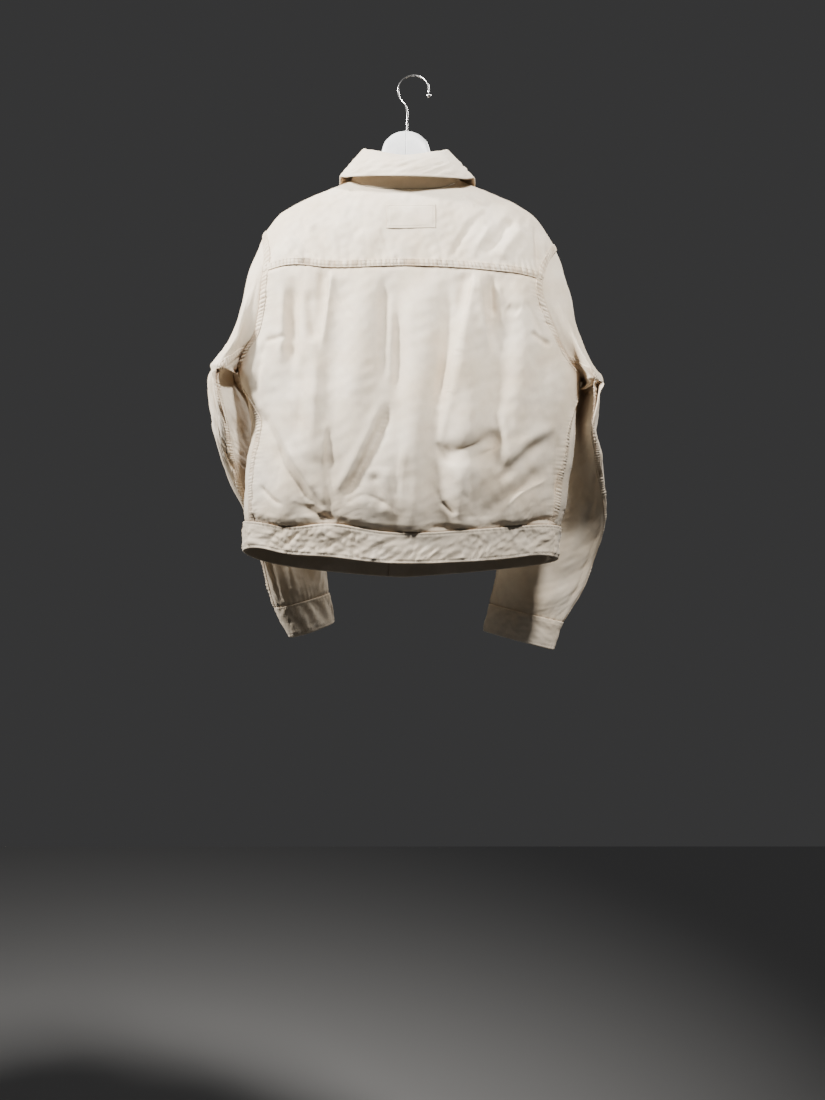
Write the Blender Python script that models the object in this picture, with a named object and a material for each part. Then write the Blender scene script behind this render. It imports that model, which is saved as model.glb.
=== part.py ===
"""A cropped trucker jacket of light drill cloth on a wide-shouldered hanger.

Metres, +Z up. The jacket's front faces -Y and the wearer's left is +X. The origin is the inside
top of the hanger's hook, where it rests on a bar. Each cloth piece is a thin wall: an outer
surface worked out from the tables below, and an inner surface one thickness inside it.
"""

import math

import bmesh
import bpy
import numpy as np

# Thicknesses and gaps.
CLOTH = 0.0015
BAND_CLOTH = 0.0026
COLLAR_CLOTH = 0.0022
GAP = 0.0003
LAYER = CLOTH + GAP + 0.0001

# The body. Widths are measured from its centre line, which wanders a little as it hangs.
ROUNDNESS = 2.5
SHOULDER_ROUND = 0.120
SIDE_SEAM_ANGLE = math.radians(19.0)
SIDE_SEAM_RUN = 0.10
NECK_HALF = 0.089
NECK_BACK_Z = -0.1945
NECK_FRONT_Z = -0.2450
OVERLAP = 0.018
PLACKET_SEAM = 0.006
PLACKET_LIFT = LAYER + 0.0006


def table(names, rows):
    """The named columns of a short table, as arrays."""
    return dict(zip(names.split(), np.array(rows, float).T))


# Body rings from the neck to below the hem.
BODY = table(
    "z centre half back front",
    [
        (-0.150, 0.0124, 0.2620, 0.050, 0.052),
        (-0.200, 0.0124, 0.2620, 0.068, 0.062),
        (-0.260, 0.0124, 0.2620, 0.074, 0.068),
        (-0.330, 0.0124, 0.2630, 0.082, 0.072),
        (-0.400, 0.0110, 0.2660, 0.090, 0.074),
        (-0.450, 0.0090, 0.2750, 0.094, 0.075),
        (-0.480, 0.0080, 0.2775, 0.096, 0.076),
        (-0.530, 0.0030, 0.2665, 0.100, 0.077),
        (-0.585, 0.0020, 0.2620, 0.103, 0.078),
        (-0.625, 0.0069, 0.2640, 0.102, 0.077),
        (-0.660, 0.0117, 0.2625, 0.098, 0.075),
        (-0.700, 0.0140, 0.2610, 0.090, 0.071),
        (-0.740, 0.0185, 0.2570, 0.073, 0.064),
        (-0.800, 0.0218, 0.2563, 0.062, 0.058),
        (-0.860, 0.0225, 0.2563, 0.061, 0.057),
    ],
)

# Height of the shoulder line, by distance from the centre.
SHOULDER = table(
    "x z",
    [
        (0.0000, -0.1500),
        (0.0500, -0.1560),
        (0.0890, -0.1713),
        (0.1237, -0.1850),
        (0.1540, -0.1976),
        (0.1830, -0.2118),
        (0.2100, -0.2310),
        (0.2266, -0.2530),
        (0.2365, -0.2690),
        (0.2447, -0.2840),
        (0.2525, -0.3080),
        (0.2620, -0.3600),
    ],
)

# Armhole seams: how far they stand from the centre, by the share of their height.
ARMHOLE = {
    "left": table(
        "drop back front",
        [
            (0.00, 0.2325, 0.2325),
            (0.20, 0.2260, 0.2200),
            (0.40, 0.2310, 0.2140),
            (0.60, 0.2365, 0.2160),
            (0.80, 0.2505, 0.2330),
            (0.90, 0.2670, 0.2520),
            (1.00, 0.2772, 0.2772),
        ],
    ),
    "right": table(
        "drop back front",
        [
            (0.00, 0.2448, 0.2448),
            (0.10, 0.2310, 0.2320),
            (0.20, 0.2220, 0.2240),
            (0.32, 0.2165, 0.2160),
            (0.50, 0.2245, 0.2140),
            (0.65, 0.2350, 0.2190),
            (0.80, 0.2470, 0.2330),
            (0.92, 0.2610, 0.2540),
            (1.00, 0.2750, 0.2750),
        ],
    ),
}
UNDERARM_Z = {"left": -0.4760, "right": -0.4930}
YOKE_DROP = {"left": 0.30, "right": 0.27}

# Yoke seam across the back.
YOKE_SEAM = table(
    "x z",
    [
        (-0.2180, -0.3407),
        (-0.1900, -0.3340),
        (-0.1300, -0.3280),
        (0.0000, -0.3220),
        (0.1200, -0.3240),
        (0.1900, -0.3180),
        (0.2290, -0.3266),
    ],
)

# Waistband seam and hem, by the angle round the body: 0 left side, 90 back, 180 right side.
WAIST = table(
    "angle seam hem",
    [
        (-90, -0.7690, -0.8163),
        (-45, -0.7500, -0.7970),
        (0, -0.7270, -0.7740),
        (33, -0.7290, -0.7690),
        (50, -0.7360, -0.7780),
        (70, -0.7310, -0.7830),
        (90, -0.7450, -0.7930),
        (108, -0.7410, -0.7905),
        (122, -0.7370, -0.7870),
        (144, -0.7320, -0.7800),
        (180, -0.7370, -0.7870),
        (225, -0.7520, -0.8000),
        (270, -0.7690, -0.8163),
    ],
)

# Soft folds of the back: a line from start to end, its half width and its height (a trough is
# negative).
BACK_FOLDS = table(
    "x0 z0 x1 z1 width height",
    [
        (0.2000, -0.335, 0.1900, -0.540, 0.0140, -0.0060),
        (0.0339, -0.535, 0.1100, -0.705, 0.0130, -0.0070),
        (0.0215, -0.400, 0.0180, -0.715, 0.0120, -0.0035),
        (0.0480, -0.340, 0.0430, -0.520, 0.0120, -0.0030),
        (-0.0550, -0.340, -0.0450, -0.470, 0.0120, -0.0030),
        (-0.0334, -0.625, -0.1441, -0.590, 0.0120, -0.0065),
        (-0.0849, -0.735, -0.2150, -0.640, 0.0130, -0.0080),
        (-0.2150, -0.660, -0.2320, -0.560, 0.0110, -0.0040),
        (-0.0870, -0.735, -0.0885, -0.640, 0.0080, -0.0040),
        (0.1900, -0.695, 0.1230, -0.730, 0.0110, -0.0060),
        (0.1290, -0.735, 0.1350, -0.575, 0.0070, -0.0045),
        (0.0450, -0.720, 0.0449, -0.640, 0.0130, 0.0045),
        (-0.1300, -0.640, -0.1500, -0.500, 0.0250, 0.0050),
        (0.1500, -0.640, 0.1600, -0.500, 0.0250, 0.0050),
    ],
)

# Pleats of the back: the folded edge from start to end, how far the upper layer runs from it
# before it lies flat again, its height, and the side of the edge it lies on (+1 is +X).
PLEATS = table(
    "x0 z0 x1 z1 run height side",
    [
        (0.1319, -0.3240, 0.1475, -0.4600, 0.030, 0.0060, -1),
        (-0.0960, -0.3300, -0.0334, -0.6160, 0.034, 0.0060, -1),
        (-0.1050, -0.3400, -0.1240, -0.4700, 0.028, 0.0045, 1),
    ],
)

# Sleeve rings from under the armhole to the cuff: outer and inner points before turning, the
# ring's place front to back, its half breadth, its turn, the fall of its back end, its bow, and
# how far its back and front points slip round towards the inner one.
SLEEVE_COLUMNS = "outer_x outer_z inner_x inner_z y broad turn lean bow slip"
SLEEVE = {
    "left": table(
        SLEEVE_COLUMNS,
        [
            (0.2700, -0.3250, 0.2900, -0.4840, 0.000, 0.056, 0, 0.00, -0.010, 42),
            (0.2825, -0.4000, 0.2925, -0.4900, -0.001, 0.064, 0, 0.00, -0.002, 30),
            (0.3110, -0.4500, 0.2920, -0.4970, -0.002, 0.072, 0, 0.00, 0.000, 14),
            (0.3330, -0.4800, 0.2890, -0.5070, -0.006, 0.078, 0, 0.00, 0.000, 4),
            (0.3365, -0.5150, 0.2830, -0.5300, -0.014, 0.079, 0, 0.00, 0.000, 0),
            (0.3290, -0.5560, 0.2760, -0.5600, -0.028, 0.078, 5, 0.00, 0.000, 0),
            (0.3070, -0.6050, 0.2640, -0.6050, -0.050, 0.075, 20, 0.00, 0.000, 0),
            (0.2760, -0.6600, 0.2360, -0.6600, -0.084, 0.073, 38, 0.00, 0.000, 0),
            (0.2420, -0.7200, 0.2020, -0.7200, -0.108, 0.071, 46, -0.06, 0.000, 0),
            (0.2230, -0.7850, 0.1860, -0.7850, -0.120, 0.068, 45, -0.12, 0.000, 0),
            (0.2060, -0.8580, 0.1740, -0.8580, -0.126, 0.064, 40, -0.18, 0.000, 0),
            (0.1890, -0.9070, 0.1590, -0.9070, -0.128, 0.060, 33, -0.18, 0.000, 0),
        ],
    ),
    "right": table(
        SLEEVE_COLUMNS,
        [
            (0.2510, -0.3450, 0.2800, -0.5000, 0.000, 0.056, 0, 0.00, -0.016, 42),
            (0.2680, -0.4200, 0.2820, -0.5050, -0.001, 0.064, 0, 0.00, -0.006, 30),
            (0.2850, -0.4660, 0.2790, -0.5100, -0.002, 0.072, 0, 0.00, 0.000, 14),
            (0.3040, -0.4900, 0.2760, -0.5180, -0.005, 0.077, 0, 0.00, 0.000, 4),
            (0.3055, -0.5250, 0.2730, -0.5400, -0.012, 0.078, 0, 0.00, 0.000, 0),
            (0.2970, -0.5750, 0.2660, -0.5780, -0.030, 0.078, 4, 0.00, 0.000, 0),
            (0.2925, -0.6200, 0.2600, -0.6200, -0.054, 0.077, 18, 0.00, 0.000, 0),
            (0.2820, -0.6800, 0.2520, -0.6800, -0.088, 0.076, 38, 0.00, 0.000, 0),
            (0.2690, -0.7300, 0.2390, -0.7300, -0.110, 0.077, 57, 0.00, 0.000, 0),
            (0.2425, -0.7850, 0.2125, -0.7850, -0.121, 0.080, 76, -0.04, 0.000, 0),
            (0.2290, -0.8300, 0.2000, -0.8300, -0.123, 0.074, 79, -0.12, 0.000, 0),
            (0.2070, -0.8800, 0.1780, -0.8800, -0.125, 0.0625, 80, -0.24, 0.000, 0),
            (0.1940, -0.9254, 0.1650, -0.9254, -0.127, 0.0595, 80, -0.26, 0.000, 0),
        ],
    ),
}
SLEEVE_ENDS = {"left": 11, "right": 12}
RING_POINT = 0.95
SIDES = {"left": 1.0, "right": -1.0}

# Collar. Angles run round the neck: 0 left, 90 back, 180 right, 270 front.
COLLAR_GAP_ANGLE = math.radians(3.0)
COLLAR_FIRST_ANGLE = -60.0
STAND_SHARE = 0.66
STAND_GAP = 0.0009
FOLD_GAP = 0.0024
COLLAR = table(
    "angle fold_x fold_y fold_z edge_x edge_y edge_z",
    [
        (-90, 0.000, -0.0640, -0.2030, 0.0380, -0.1000, -0.2900),
        (-70, 0.026, -0.0600, -0.1930, 0.0620, -0.0950, -0.2740),
        (-40, 0.054, -0.0400, -0.1600, 0.0960, -0.0680, -0.2220),
        (-20, 0.0625, -0.0210, -0.1395, 0.1070, -0.0330, -0.1880),
        (0, 0.067, 0.0000, -0.1230, 0.1080, 0.0020, -0.1695),
        (40, 0.057, 0.0310, -0.1270, 0.0930, 0.0480, -0.1735),
        (90, 0.003, 0.0450, -0.1385, 0.0030, 0.0800, -0.1795),
        (140, -0.052, 0.0310, -0.1290, -0.0930, 0.0480, -0.1765),
        (180, -0.067, 0.0000, -0.1240, -0.1130, 0.0020, -0.1715),
        (200, -0.0625, -0.0210, -0.1400, -0.1110, -0.0330, -0.1900),
        (220, -0.054, -0.0400, -0.1600, -0.0980, -0.0680, -0.2230),
        (250, -0.026, -0.0600, -0.1930, -0.0620, -0.0950, -0.2740),
        (270, 0.000, -0.0640, -0.2030, -0.0380, -0.1000, -0.2900),
    ],
)

# Patch on the yoke, buttons.
BAND_PROUD = 0.0008
CUFF_PROUD = 0.0006
CUFF_UNDER_END = -325.0
CUFF_OVER_END = 60.0
PATCH = {"x": 0.0040, "z": -0.2420, "width": 0.077, "height": 0.039, "tilt": -0.010}
BUTTON_RADIUS = 0.0085
BUTTON_HEIGHT = 0.0032
FRONT_BUTTONS = 5

# Hanger: its centre, and sections out along each half.
HANGER_X = 0.0124
HANGER = table(
    "x top bottom half_depth",
    [
        (0.0000, -0.0887, -0.1830, 0.0125),
        (0.0140, -0.0912, -0.1835, 0.0125),
        (0.0270, -0.0990, -0.1845, 0.0125),
        (0.0370, -0.1130, -0.1860, 0.0125),
        (0.0420, -0.1320, -0.1870, 0.0125),
        (0.0520, -0.1490, -0.1890, 0.0125),
        (0.0700, -0.1670, -0.1940, 0.0120),
        (0.0950, -0.1830, -0.2060, 0.0120),
        (0.1300, -0.2000, -0.2260, 0.0130),
        (0.1600, -0.2150, -0.2450, 0.0140),
        (0.1900, -0.2310, -0.2640, 0.0145),
        (0.2080, -0.2470, -0.2740, 0.0130),
        (0.2150, -0.2580, -0.2700, 0.0080),
    ],
)
WIRE = 0.0035
HOOK_RADIUS = 0.0250
HOOK_Z = WIRE / 2 - HOOK_RADIUS
SHANK_X = 0.0106
SHANK_TOP_Z = -0.0560
BALL_RADIUS = 0.0040

# How finely the pieces are divided. The armhole's steps are shared by body and sleeve; the sleeve's
# seams lie UNDER_STEPS to each side of its lowest point.
YOKE_STEPS = 5
BACK_ARM_STEPS = 9
UNDER_STEPS = 3
FRONT_ARM_STEPS = 10
SIDE_STEPS = 13
ARM_SHARE = {"back": 0.48, "front": 0.70}
ARM_REACH = {"back": 0.45, "front": 0.25}
RIDGE_STEPS = {"back": 10, "front": 6}
NECK_TURNS = np.radians(np.arange(0.0, 91.0, 15.0))
SLEEVE_ROWS = 15
CUFF_COLUMNS = 26


# ---------------------------------------------------------------- smooth curves through tables


def spline(keys, values, at):
    """Cubic through rows of values at rising keys; each row may hold one number or many."""
    at = np.clip(at, keys[0], keys[-1])
    row = np.clip(np.searchsorted(keys, at) - 1, 0, len(keys) - 2)
    slopes = np.gradient(values, keys, axis=0)
    step = keys[row + 1] - keys[row]
    share = (at - keys[row]) / step
    extra = values.ndim - 1
    step = step.reshape(step.shape + (1,) * extra)
    share = share.reshape(share.shape + (1,) * extra)
    rest = 1.0 - share
    start = values[row] * (1 + 2 * share) * rest ** 2
    end = values[row + 1] * (1 + 2 * rest) * share ** 2
    leaving = slopes[row] * step * share * rest ** 2
    arriving = slopes[row + 1] * step * rest * share ** 2
    return start + end + leaving - arriving


def along(sheet, column, at, key="z"):
    """Smooth value of a table's column where its key column has the value at."""
    at = np.asarray(at, float)
    keys = sheet[key]
    values = sheet[column]
    if keys[0] > keys[-1]:
        keys = keys[::-1]
        values = values[::-1]
    return spline(keys, values, at)


def signed_power(value, power):
    """The size of a number raised to a power, with the number's own sign."""
    return np.sign(value) * np.abs(value) ** power


def unit(vectors):
    """Vectors of length one."""
    return vectors / np.maximum(np.linalg.norm(vectors, axis=-1, keepdims=True), 1e-12)


def blend(start, end, share):
    """Straight blend from start to end."""
    return start + (end - start) * share


def ease(value):
    """Smooth step from 0 to 1."""
    value = np.clip(value, 0.0, 1.0)
    return value * value * (3 - 2 * value)


# ---------------------------------------------------------------- form of the body


def shoulder_z(x):
    """Height of the shoulder line at x from the centre."""
    return along(SHOULDER, "z", np.abs(x), "x")


def body_x(angle, z):
    """Distance from the centre line of the ring point at this angle."""
    return along(BODY, "half", z) * signed_power(np.cos(angle), 2 / ROUNDNESS)


def body_angle(x, z):
    """Angle, from 0 at the side to a quarter turn at the middle, of a point x from the centre."""
    share = np.clip(np.abs(x) / along(BODY, "half", z), 0, 1) ** (ROUNDNESS / 2)
    return np.arccos(share)


def back_folds(x, z):
    """Height of the back's folds and pleats over its smooth form, at world x and z."""
    height = np.zeros_like(x)
    for row in zip(*(BACK_FOLDS[name] for name in BACK_FOLDS)):
        share, across, _ = fold_place(x, z, row[:4])
        fade = ease(share / 0.22) * ease((1 - share) / 0.22)
        height += row[5] * fade * np.exp(-((across / row[4]) ** 2))
    for row in zip(*(PLEATS[name] for name in PLEATS)):
        share, across, length = fold_place(x, z, row[:4])
        over = across * row[6]
        fade = ease(share * length / 0.02) * ease((1 - share) / 0.5)
        rise = ease(over / 0.004 + 0.5) * np.exp(-np.maximum(over, 0) / row[4])
        height += row[5] * fade * rise
    return height


def fold_place(x, z, line):
    """Share along a fold line, signed distance from it towards +X, and the line's length."""
    x0, z0, x1, z1 = line
    length = math.hypot(x1 - x0, z1 - z0)
    along_x = (x1 - x0) / length
    along_z = (z1 - z0) / length
    share = ((x - x0) * along_x + (z - z0) * along_z) / length
    across = (x - x0) * -along_z + (z - z0) * along_x
    return share, across, length


def body_points(angle, z, lift=0.0):
    """Outer surface of the body at an angle round it and a height, moved out by lift."""
    x = body_x(angle, z)
    behind = np.sin(angle) >= 0
    depth = np.where(behind, along(BODY, "back", z), along(BODY, "front", z))
    drop = np.clip((shoulder_z(x) - z) / SHOULDER_ROUND, 0, 1)
    rounding = np.sqrt(1 - (1 - drop) ** 2)
    y = depth * signed_power(np.sin(angle), 2 / ROUNDNESS) * rounding
    world_x = along(BODY, "centre", z) + x
    edge = ease((0.97 - np.abs(np.cos(angle))) / 0.25)
    y = y + np.where(behind, back_folds(world_x, z) * edge, 0.0)
    points = np.stack([world_x, y, z + 0 * x], axis=-1)
    if np.ndim(lift) or lift:
        points = points + body_normals(angle, z) * np.asarray(lift)[..., None]
    return points


def body_normals(angle, z):
    """Outward unit normals of the body's surface."""
    nudge = 1e-3
    turned = body_points(angle + nudge, z) - body_points(angle - nudge, z)
    lowered = body_points(angle, z - nudge) - body_points(angle, z + nudge)
    return unit(np.cross(lowered, turned))


def waist(column, angle):
    """Height of the waistband seam or the hem at an angle round the body, in radians."""
    degrees = np.mod(np.degrees(angle) + 90, 360) - 90
    return along(WAIST, column, degrees, "angle")


# ---------------------------------------------------------------- armholes and sleeves


def armhole(side, angle):
    """Points of the armhole seam and their ring angles round the body.

    Angle 0 is at the shoulder, a quarter turn at the back, a half turn under the arm.
    """
    sheet = ARMHOLE[side]
    sign = SIDES[side]
    drop = (1 - np.cos(angle)) / 2
    z = blend(shoulder_z(sheet["back"][0]), UNDERARM_Z[side], drop)
    behind = np.sin(angle) >= 0
    x = np.where(behind, along(sheet, "back", drop, "drop"), along(sheet, "front", drop, "drop"))
    x = x + (along(BODY, "half", UNDERARM_Z[side]) - sheet["back"][-1]) * drop ** 8
    ring = body_angle(x, z) * np.where(behind, 1.0, -1.0)
    ring = ring if sign > 0 else math.pi - ring
    return body_points(ring, z), ring


def slipped(angle, degrees):
    """Angles moved towards the under side, most where the seams are."""
    return angle + math.radians(degrees) * np.sin(angle)


def unslipped(angle, degrees):
    """Angles that slip to these ones."""
    even = np.linspace(-math.pi, 3 * math.pi, 2001)
    return np.interp(angle, slipped(even, degrees), even)


def loop_angle(drop):
    """Angle round the back of the armhole at a share of its height."""
    return math.acos(1 - 2 * drop)


def arm_steps(side):
    """Angles round the armhole where body and sleeve have their points, stretch by stretch."""
    yoke = loop_angle(YOKE_DROP[side])
    back = blend(yoke, math.pi, shares(BACK_ARM_STEPS + 1))
    seam = 2 * math.pi - back[-1 - UNDER_STEPS]
    return {
        "yoke": blend(0.0, yoke, shares(YOKE_STEPS + 1)),
        "back": back,
        "under": blend(math.pi, seam, shares(UNDER_STEPS + 1)),
        "front": blend(seam, 2 * math.pi, shares(FRONT_ARM_STEPS + 1)),
    }


def arm_loop(side):
    """Angles all round the armhole, from the shoulder round the back; the last meets the first."""
    steps = arm_steps(side)
    rest = [steps[name][1:] for name in ("back", "under", "front")]
    return np.concatenate([steps["yoke"], *rest])


def sleeve_slip(side):
    """Degrees from the back of the armhole to the sleeve's back seam."""
    return math.degrees(arm_steps(side)["back"][-1 - UNDER_STEPS]) - 90


def sleeve_rings(side, angle):
    """Ring points of a sleeve: the armhole seam, then the table's rings, one row for each."""
    sheet = SLEEVE[side]
    sign = SIDES[side]
    rings = [armhole(side, slipped(angle, sleeve_slip(side)))[0]]
    centres = [rings[0].mean(axis=0)]
    for row in range(len(sheet["y"])):
        at = {name: sheet[name][row] for name in sheet}
        turn = math.radians(at["turn"])
        middle = np.array([(at["outer_x"] + at["inner_x"]) / 2, at["y"], 0.0])
        middle[2] = (at["outer_z"] + at["inner_z"]) / 2
        thick = (at["outer_x"] - at["inner_x"]) / 2
        rise = (at["outer_z"] - at["inner_z"]) / 2
        to_outer = np.array([thick * math.cos(turn), -thick * math.sin(turn), rise])
        to_back = at["broad"] * np.array([math.sin(turn), math.cos(turn), at["lean"]])
        moved = slipped(angle, at["slip"])
        out = signed_power(np.cos(moved), RING_POINT)[..., None]
        back = np.sin(moved)[..., None]
        ring = middle + out * to_outer + back * to_back
        ring[..., 0] += at["bow"] * np.sin(moved) ** 2
        ring[..., 0] *= sign
        middle[0] *= sign
        rings.append(ring)
        centres.append(middle)
    return np.array(rings), np.array(centres)


def sleeve_points(side, angle, first, last, rows):
    """Sleeve surface from one ring to another, as a grid of angles by evenly spaced rows."""
    rings, centres = sleeve_rings(side, angle)
    steps = np.linalg.norm(np.diff(rings, axis=0), axis=-1).mean(axis=-1)
    keys = np.concatenate([[0.0], np.cumsum(steps)])
    at = np.linspace(keys[first], keys[last], rows)
    grid = spline(keys, rings, at)
    middle = spline(keys, centres, at)
    return grid.transpose(1, 0, 2), middle[None, :, :]


def sleeve_surface(side):
    """Sleeve all round from the armhole to the cuff: its points and its outward normals."""
    angle = unslipped(arm_loop(side), sleeve_slip(side))
    outer, middle = sleeve_points(side, angle, 0, SLEEVE_ENDS[side], SLEEVE_ROWS)
    around = closed_steps(outer)
    down = np.gradient(outer, axis=1)
    normals = unit(np.cross(around, down))
    facing = np.sum(normals * (outer - middle))
    return outer, normals if facing > 0 else -normals


def closed_steps(ring):
    """Steps from the point before to the point after, round a ring whose last meets its first."""
    steps = np.roll(ring[:-1], -1, axis=0) - np.roll(ring[:-1], 1, axis=0)
    return np.concatenate([steps, steps[:1]])


def arm_walls(side, angle):
    """Outward directions of the armhole seam's walls, and the directions from body to sleeve.

    Both pieces share them. They lie halfway between the two surfaces, in the crease under the
    arm too.
    """
    loop = arm_loop(side)
    surface, sleeve_out = sleeve_surface(side)
    points, ring = armhole(side, loop)
    body_out = body_normals(ring, points[:, 2])
    body_run = unit(np.cross(closed_steps(points), body_out))
    widest = int(np.argmin(np.abs(loop - math.pi / 2)))
    body_run *= -SIDES[side] * np.sign(body_run[widest, 0])
    sleeve_run = unit(surface[:, 1] - surface[:, 0])
    fold = np.sign(np.sum(body_out * sleeve_run, axis=-1, keepdims=True))
    outward = unit(body_out + sleeve_out[:, 0] + fold * (body_run + sleeve_run))
    apart = unit(sleeve_run - body_run + fold * (body_out - sleeve_out[:, 0]))
    both = np.concatenate([outward, apart], axis=-1)
    both = np.stack([np.interp(angle, loop, both[:, axis]) for axis in range(6)], axis=-1)
    return both[:, :3], both[:, 3:]


# ---------------------------------------------------------------- walls and solids


def grid_normals(points, inside):
    """Unit normals of a grid of points, turned away from the points inside."""
    first = np.gradient(points, axis=0)
    second = np.gradient(points, axis=1)
    normals = unit(np.cross(first, second))
    facing = np.sum(normals * (points - inside))
    return normals if facing > 0 else -normals


def add_object(name, vertices, faces, material):
    """A new object from vertices and faces, shaded smooth, with its faces pointing out."""
    mesh = bpy.data.meshes.new(name)
    mesh.from_pydata([tuple(point) for point in vertices], [], faces)
    mesh.validate()
    shape = bmesh.new()
    shape.from_mesh(mesh)
    bmesh.ops.recalc_face_normals(shape, faces=shape.faces)
    shape.to_mesh(mesh)
    shape.free()
    mesh.shade_smooth()
    mesh.set_sharp_from_angle(angle=math.radians(50))
    mesh.materials.append(material)
    piece = bpy.data.objects.new(name, mesh)
    bpy.context.scene.collection.objects.link(piece)
    return piece


def wall(name, outer, inward, thickness, material):
    """A closed wall from a grid of outer points to the same grid moved along inward."""
    inner = outer + inward * thickness
    columns, rows = outer.shape[:2]
    count = columns * rows
    index = np.arange(count).reshape(columns, rows)
    quads = np.stack([index[:-1, :-1], index[1:, :-1], index[1:, 1:], index[:-1, 1:]], axis=-1)
    quads = quads.reshape(-1, 4)
    rim = np.concatenate([index[:, 0], index[-1, 1:], index[-2::-1, -1], index[0, -2:0:-1]])
    vertices = np.concatenate([outer.reshape(-1, 3), inner.reshape(-1, 3)])
    faces = np.concatenate([quads, quads[:, ::-1] + count]).tolist()
    for a, b in zip(rim.tolist(), np.roll(rim, -1).tolist()):
        if vertices[a, 2] > vertices[b, 2]:
            faces += [(b, a, b + count), (a, a + count, b + count)]
        else:
            faces += [(b, a, a + count), (b, a + count, b + count)]
    return add_object(name, vertices, faces, material)


def cloth_material(name, colour, roughness=0.9, metallic=0.0):
    """A Principled material with this colour, roughness and metallic value."""
    material = bpy.data.materials.new(name)
    material.use_nodes = True
    shader = material.node_tree.nodes["Principled BSDF"]
    shader.inputs["Base Color"].default_value = (*colour, 1.0)
    shader.inputs["Roughness"].default_value = roughness
    shader.inputs["Metallic"].default_value = metallic
    material.diffuse_color = (*colour, 1.0)
    return material


def fill(left, right, top, bottom, v, reach):
    """Grid of angles and heights between four edges, each a pair of arrays.

    v gives the rows' shares of the height in the middle; they turn to follow the side edges
    within the share of the width that reach gives.
    """
    u = shares(len(top[0]))[:, None]
    height = bottom[1] - top[1]
    left_share = (left[1] - top[1][0]) / height[0]
    right_share = (right[1] - top[1][-1]) / height[-1]
    at_left = ease(1 - u / reach)
    at_right = ease(1 - (1 - u) / reach)
    share = v + (left_share - v) * at_left + (right_share - v) * at_right
    z = top[1][:, None] + height[:, None] * share
    top_u = (top[0] - top[0][0]) / (top[0][-1] - top[0][0])
    angle = left[0] + (right[0] - left[0]) * blend(top_u[:, None], u, ease(v))
    return angle, z


# ---------------------------------------------------------------- edges of the body's panels


def side_seam(side, share):
    """Ring angle and height down a side seam, from under the arm to the waistband seam."""
    foot = SIDE_SEAM_ANGLE if side == "left" else math.pi - SIDE_SEAM_ANGLE
    z = blend(UNDERARM_Z[side], waist("seam", foot), share)
    angle = SIDE_SEAM_ANGLE * ease((UNDERARM_Z[side] - z) / SIDE_SEAM_RUN)
    return (angle if side == "left" else math.pi - angle), z


def arm_and_side(side, loop):
    """Ring angles and heights down an armhole, then down the side seam."""
    points, ring = armhole(side, loop)
    angle, z = side_seam(side, shares(SIDE_STEPS + 1)[1:])
    return np.append(ring, angle), np.append(points[:, 2], z)


def row_shares(name, arm_rows):
    """Shares of a panel's height for its rows: those at the armhole, then those below."""
    arm = ARM_SHARE[name] * shares(arm_rows) ** 0.9
    return np.append(arm, blend(ARM_SHARE[name], 1.0, shares(SIDE_STEPS + 1)[1:]))


def yoke_edge(share):
    """Ring angle and height along the yoke seam, from the left armhole to the right one."""
    ends = [armhole(side, np.array([loop_angle(YOKE_DROP[side])])) for side in SIDES]
    levels = [end[0][0, 2] for end in ends]
    angle = blend(ends[0][1][0], ends[1][1][0], share)
    z = along(YOKE_SEAM, "z", body_x(angle, blend(*levels, share)), "x")
    shift = blend(levels[0] - z[0], levels[1] - z[-1], share)
    return angle, z + shift * np.abs(2 * share - 1) ** 6


def neck_z(x, behind):
    """Height of the neckline at x from the centre."""
    share = np.clip(np.abs(x) / NECK_HALF, 0, 1)
    side_z = shoulder_z(NECK_HALF)
    if behind:
        return blend(NECK_BACK_Z, side_z, share ** 4)
    return blend(side_z, NECK_FRONT_Z, (1 - share ** 2) ** 0.62)


def top_columns(side, panel_name):
    """Places of a panel's columns along the shoulder line and the neckline, from one armhole."""
    steps = shares(RIDGE_STEPS[panel_name] + 1)
    ridge = blend(ARMHOLE[side]["back"][0], NECK_HALF, steps)
    turns = NECK_TURNS[1:]
    if panel_name == "front":
        sign = SIDES[side]
        turns = np.append(turns[:-1] if sign > 0 else turns, math.acos(sign * OVERLAP / NECK_HALF))
    return np.concatenate([ridge, NECK_HALF * np.cos(turns)])


def top_edge(x, behind):
    """Ring angle and height along the shoulder line and the neckline at places x."""
    z = np.where(np.abs(x) >= NECK_HALF, shoulder_z(x), neck_z(x, behind))
    angle = np.where(x >= 0, body_angle(x, z), math.pi - body_angle(x, z))
    return (angle if behind else -angle), z


def panel(name, grid, material, thickness=CLOTH, lift=0.0, walls=(), ridge=0):
    """A wall over the body's surface.

    walls gives a column on an armhole, its side and its angles round it; ridge is 1 behind the
    shoulder line, -1 in front of it, and 0 on a panel that doesn't reach it.
    """
    angle, z = grid
    normals = body_normals(angle, z)
    outer = body_points(angle, z) + normals * np.asarray(lift)[..., None]
    if ridge:
        x = body_x(angle[:, 0], z[:, 0])
        on_ridge = np.abs(x) >= NECK_HALF - 1e-6
        slope = (shoulder_z(x + 1e-4) - shoulder_z(x - 1e-4)) / 2e-4
        upright = unit(np.stack([-slope, 0 * x, 0 * x + 1], axis=-1))
        normals[:, 0][on_ridge] = upright[on_ridge]
        outer[:, 0, 1] = np.where(on_ridge, ridge * GAP / 2, outer[:, 0, 1])
    for column, side, loop in walls:
        outward, apart = arm_walls(side, loop)
        normals[column, :len(loop)] = outward
        outer[column, :len(loop)] -= apart * GAP / 2
    return wall(name, outer, -normals, thickness, material)


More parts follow.
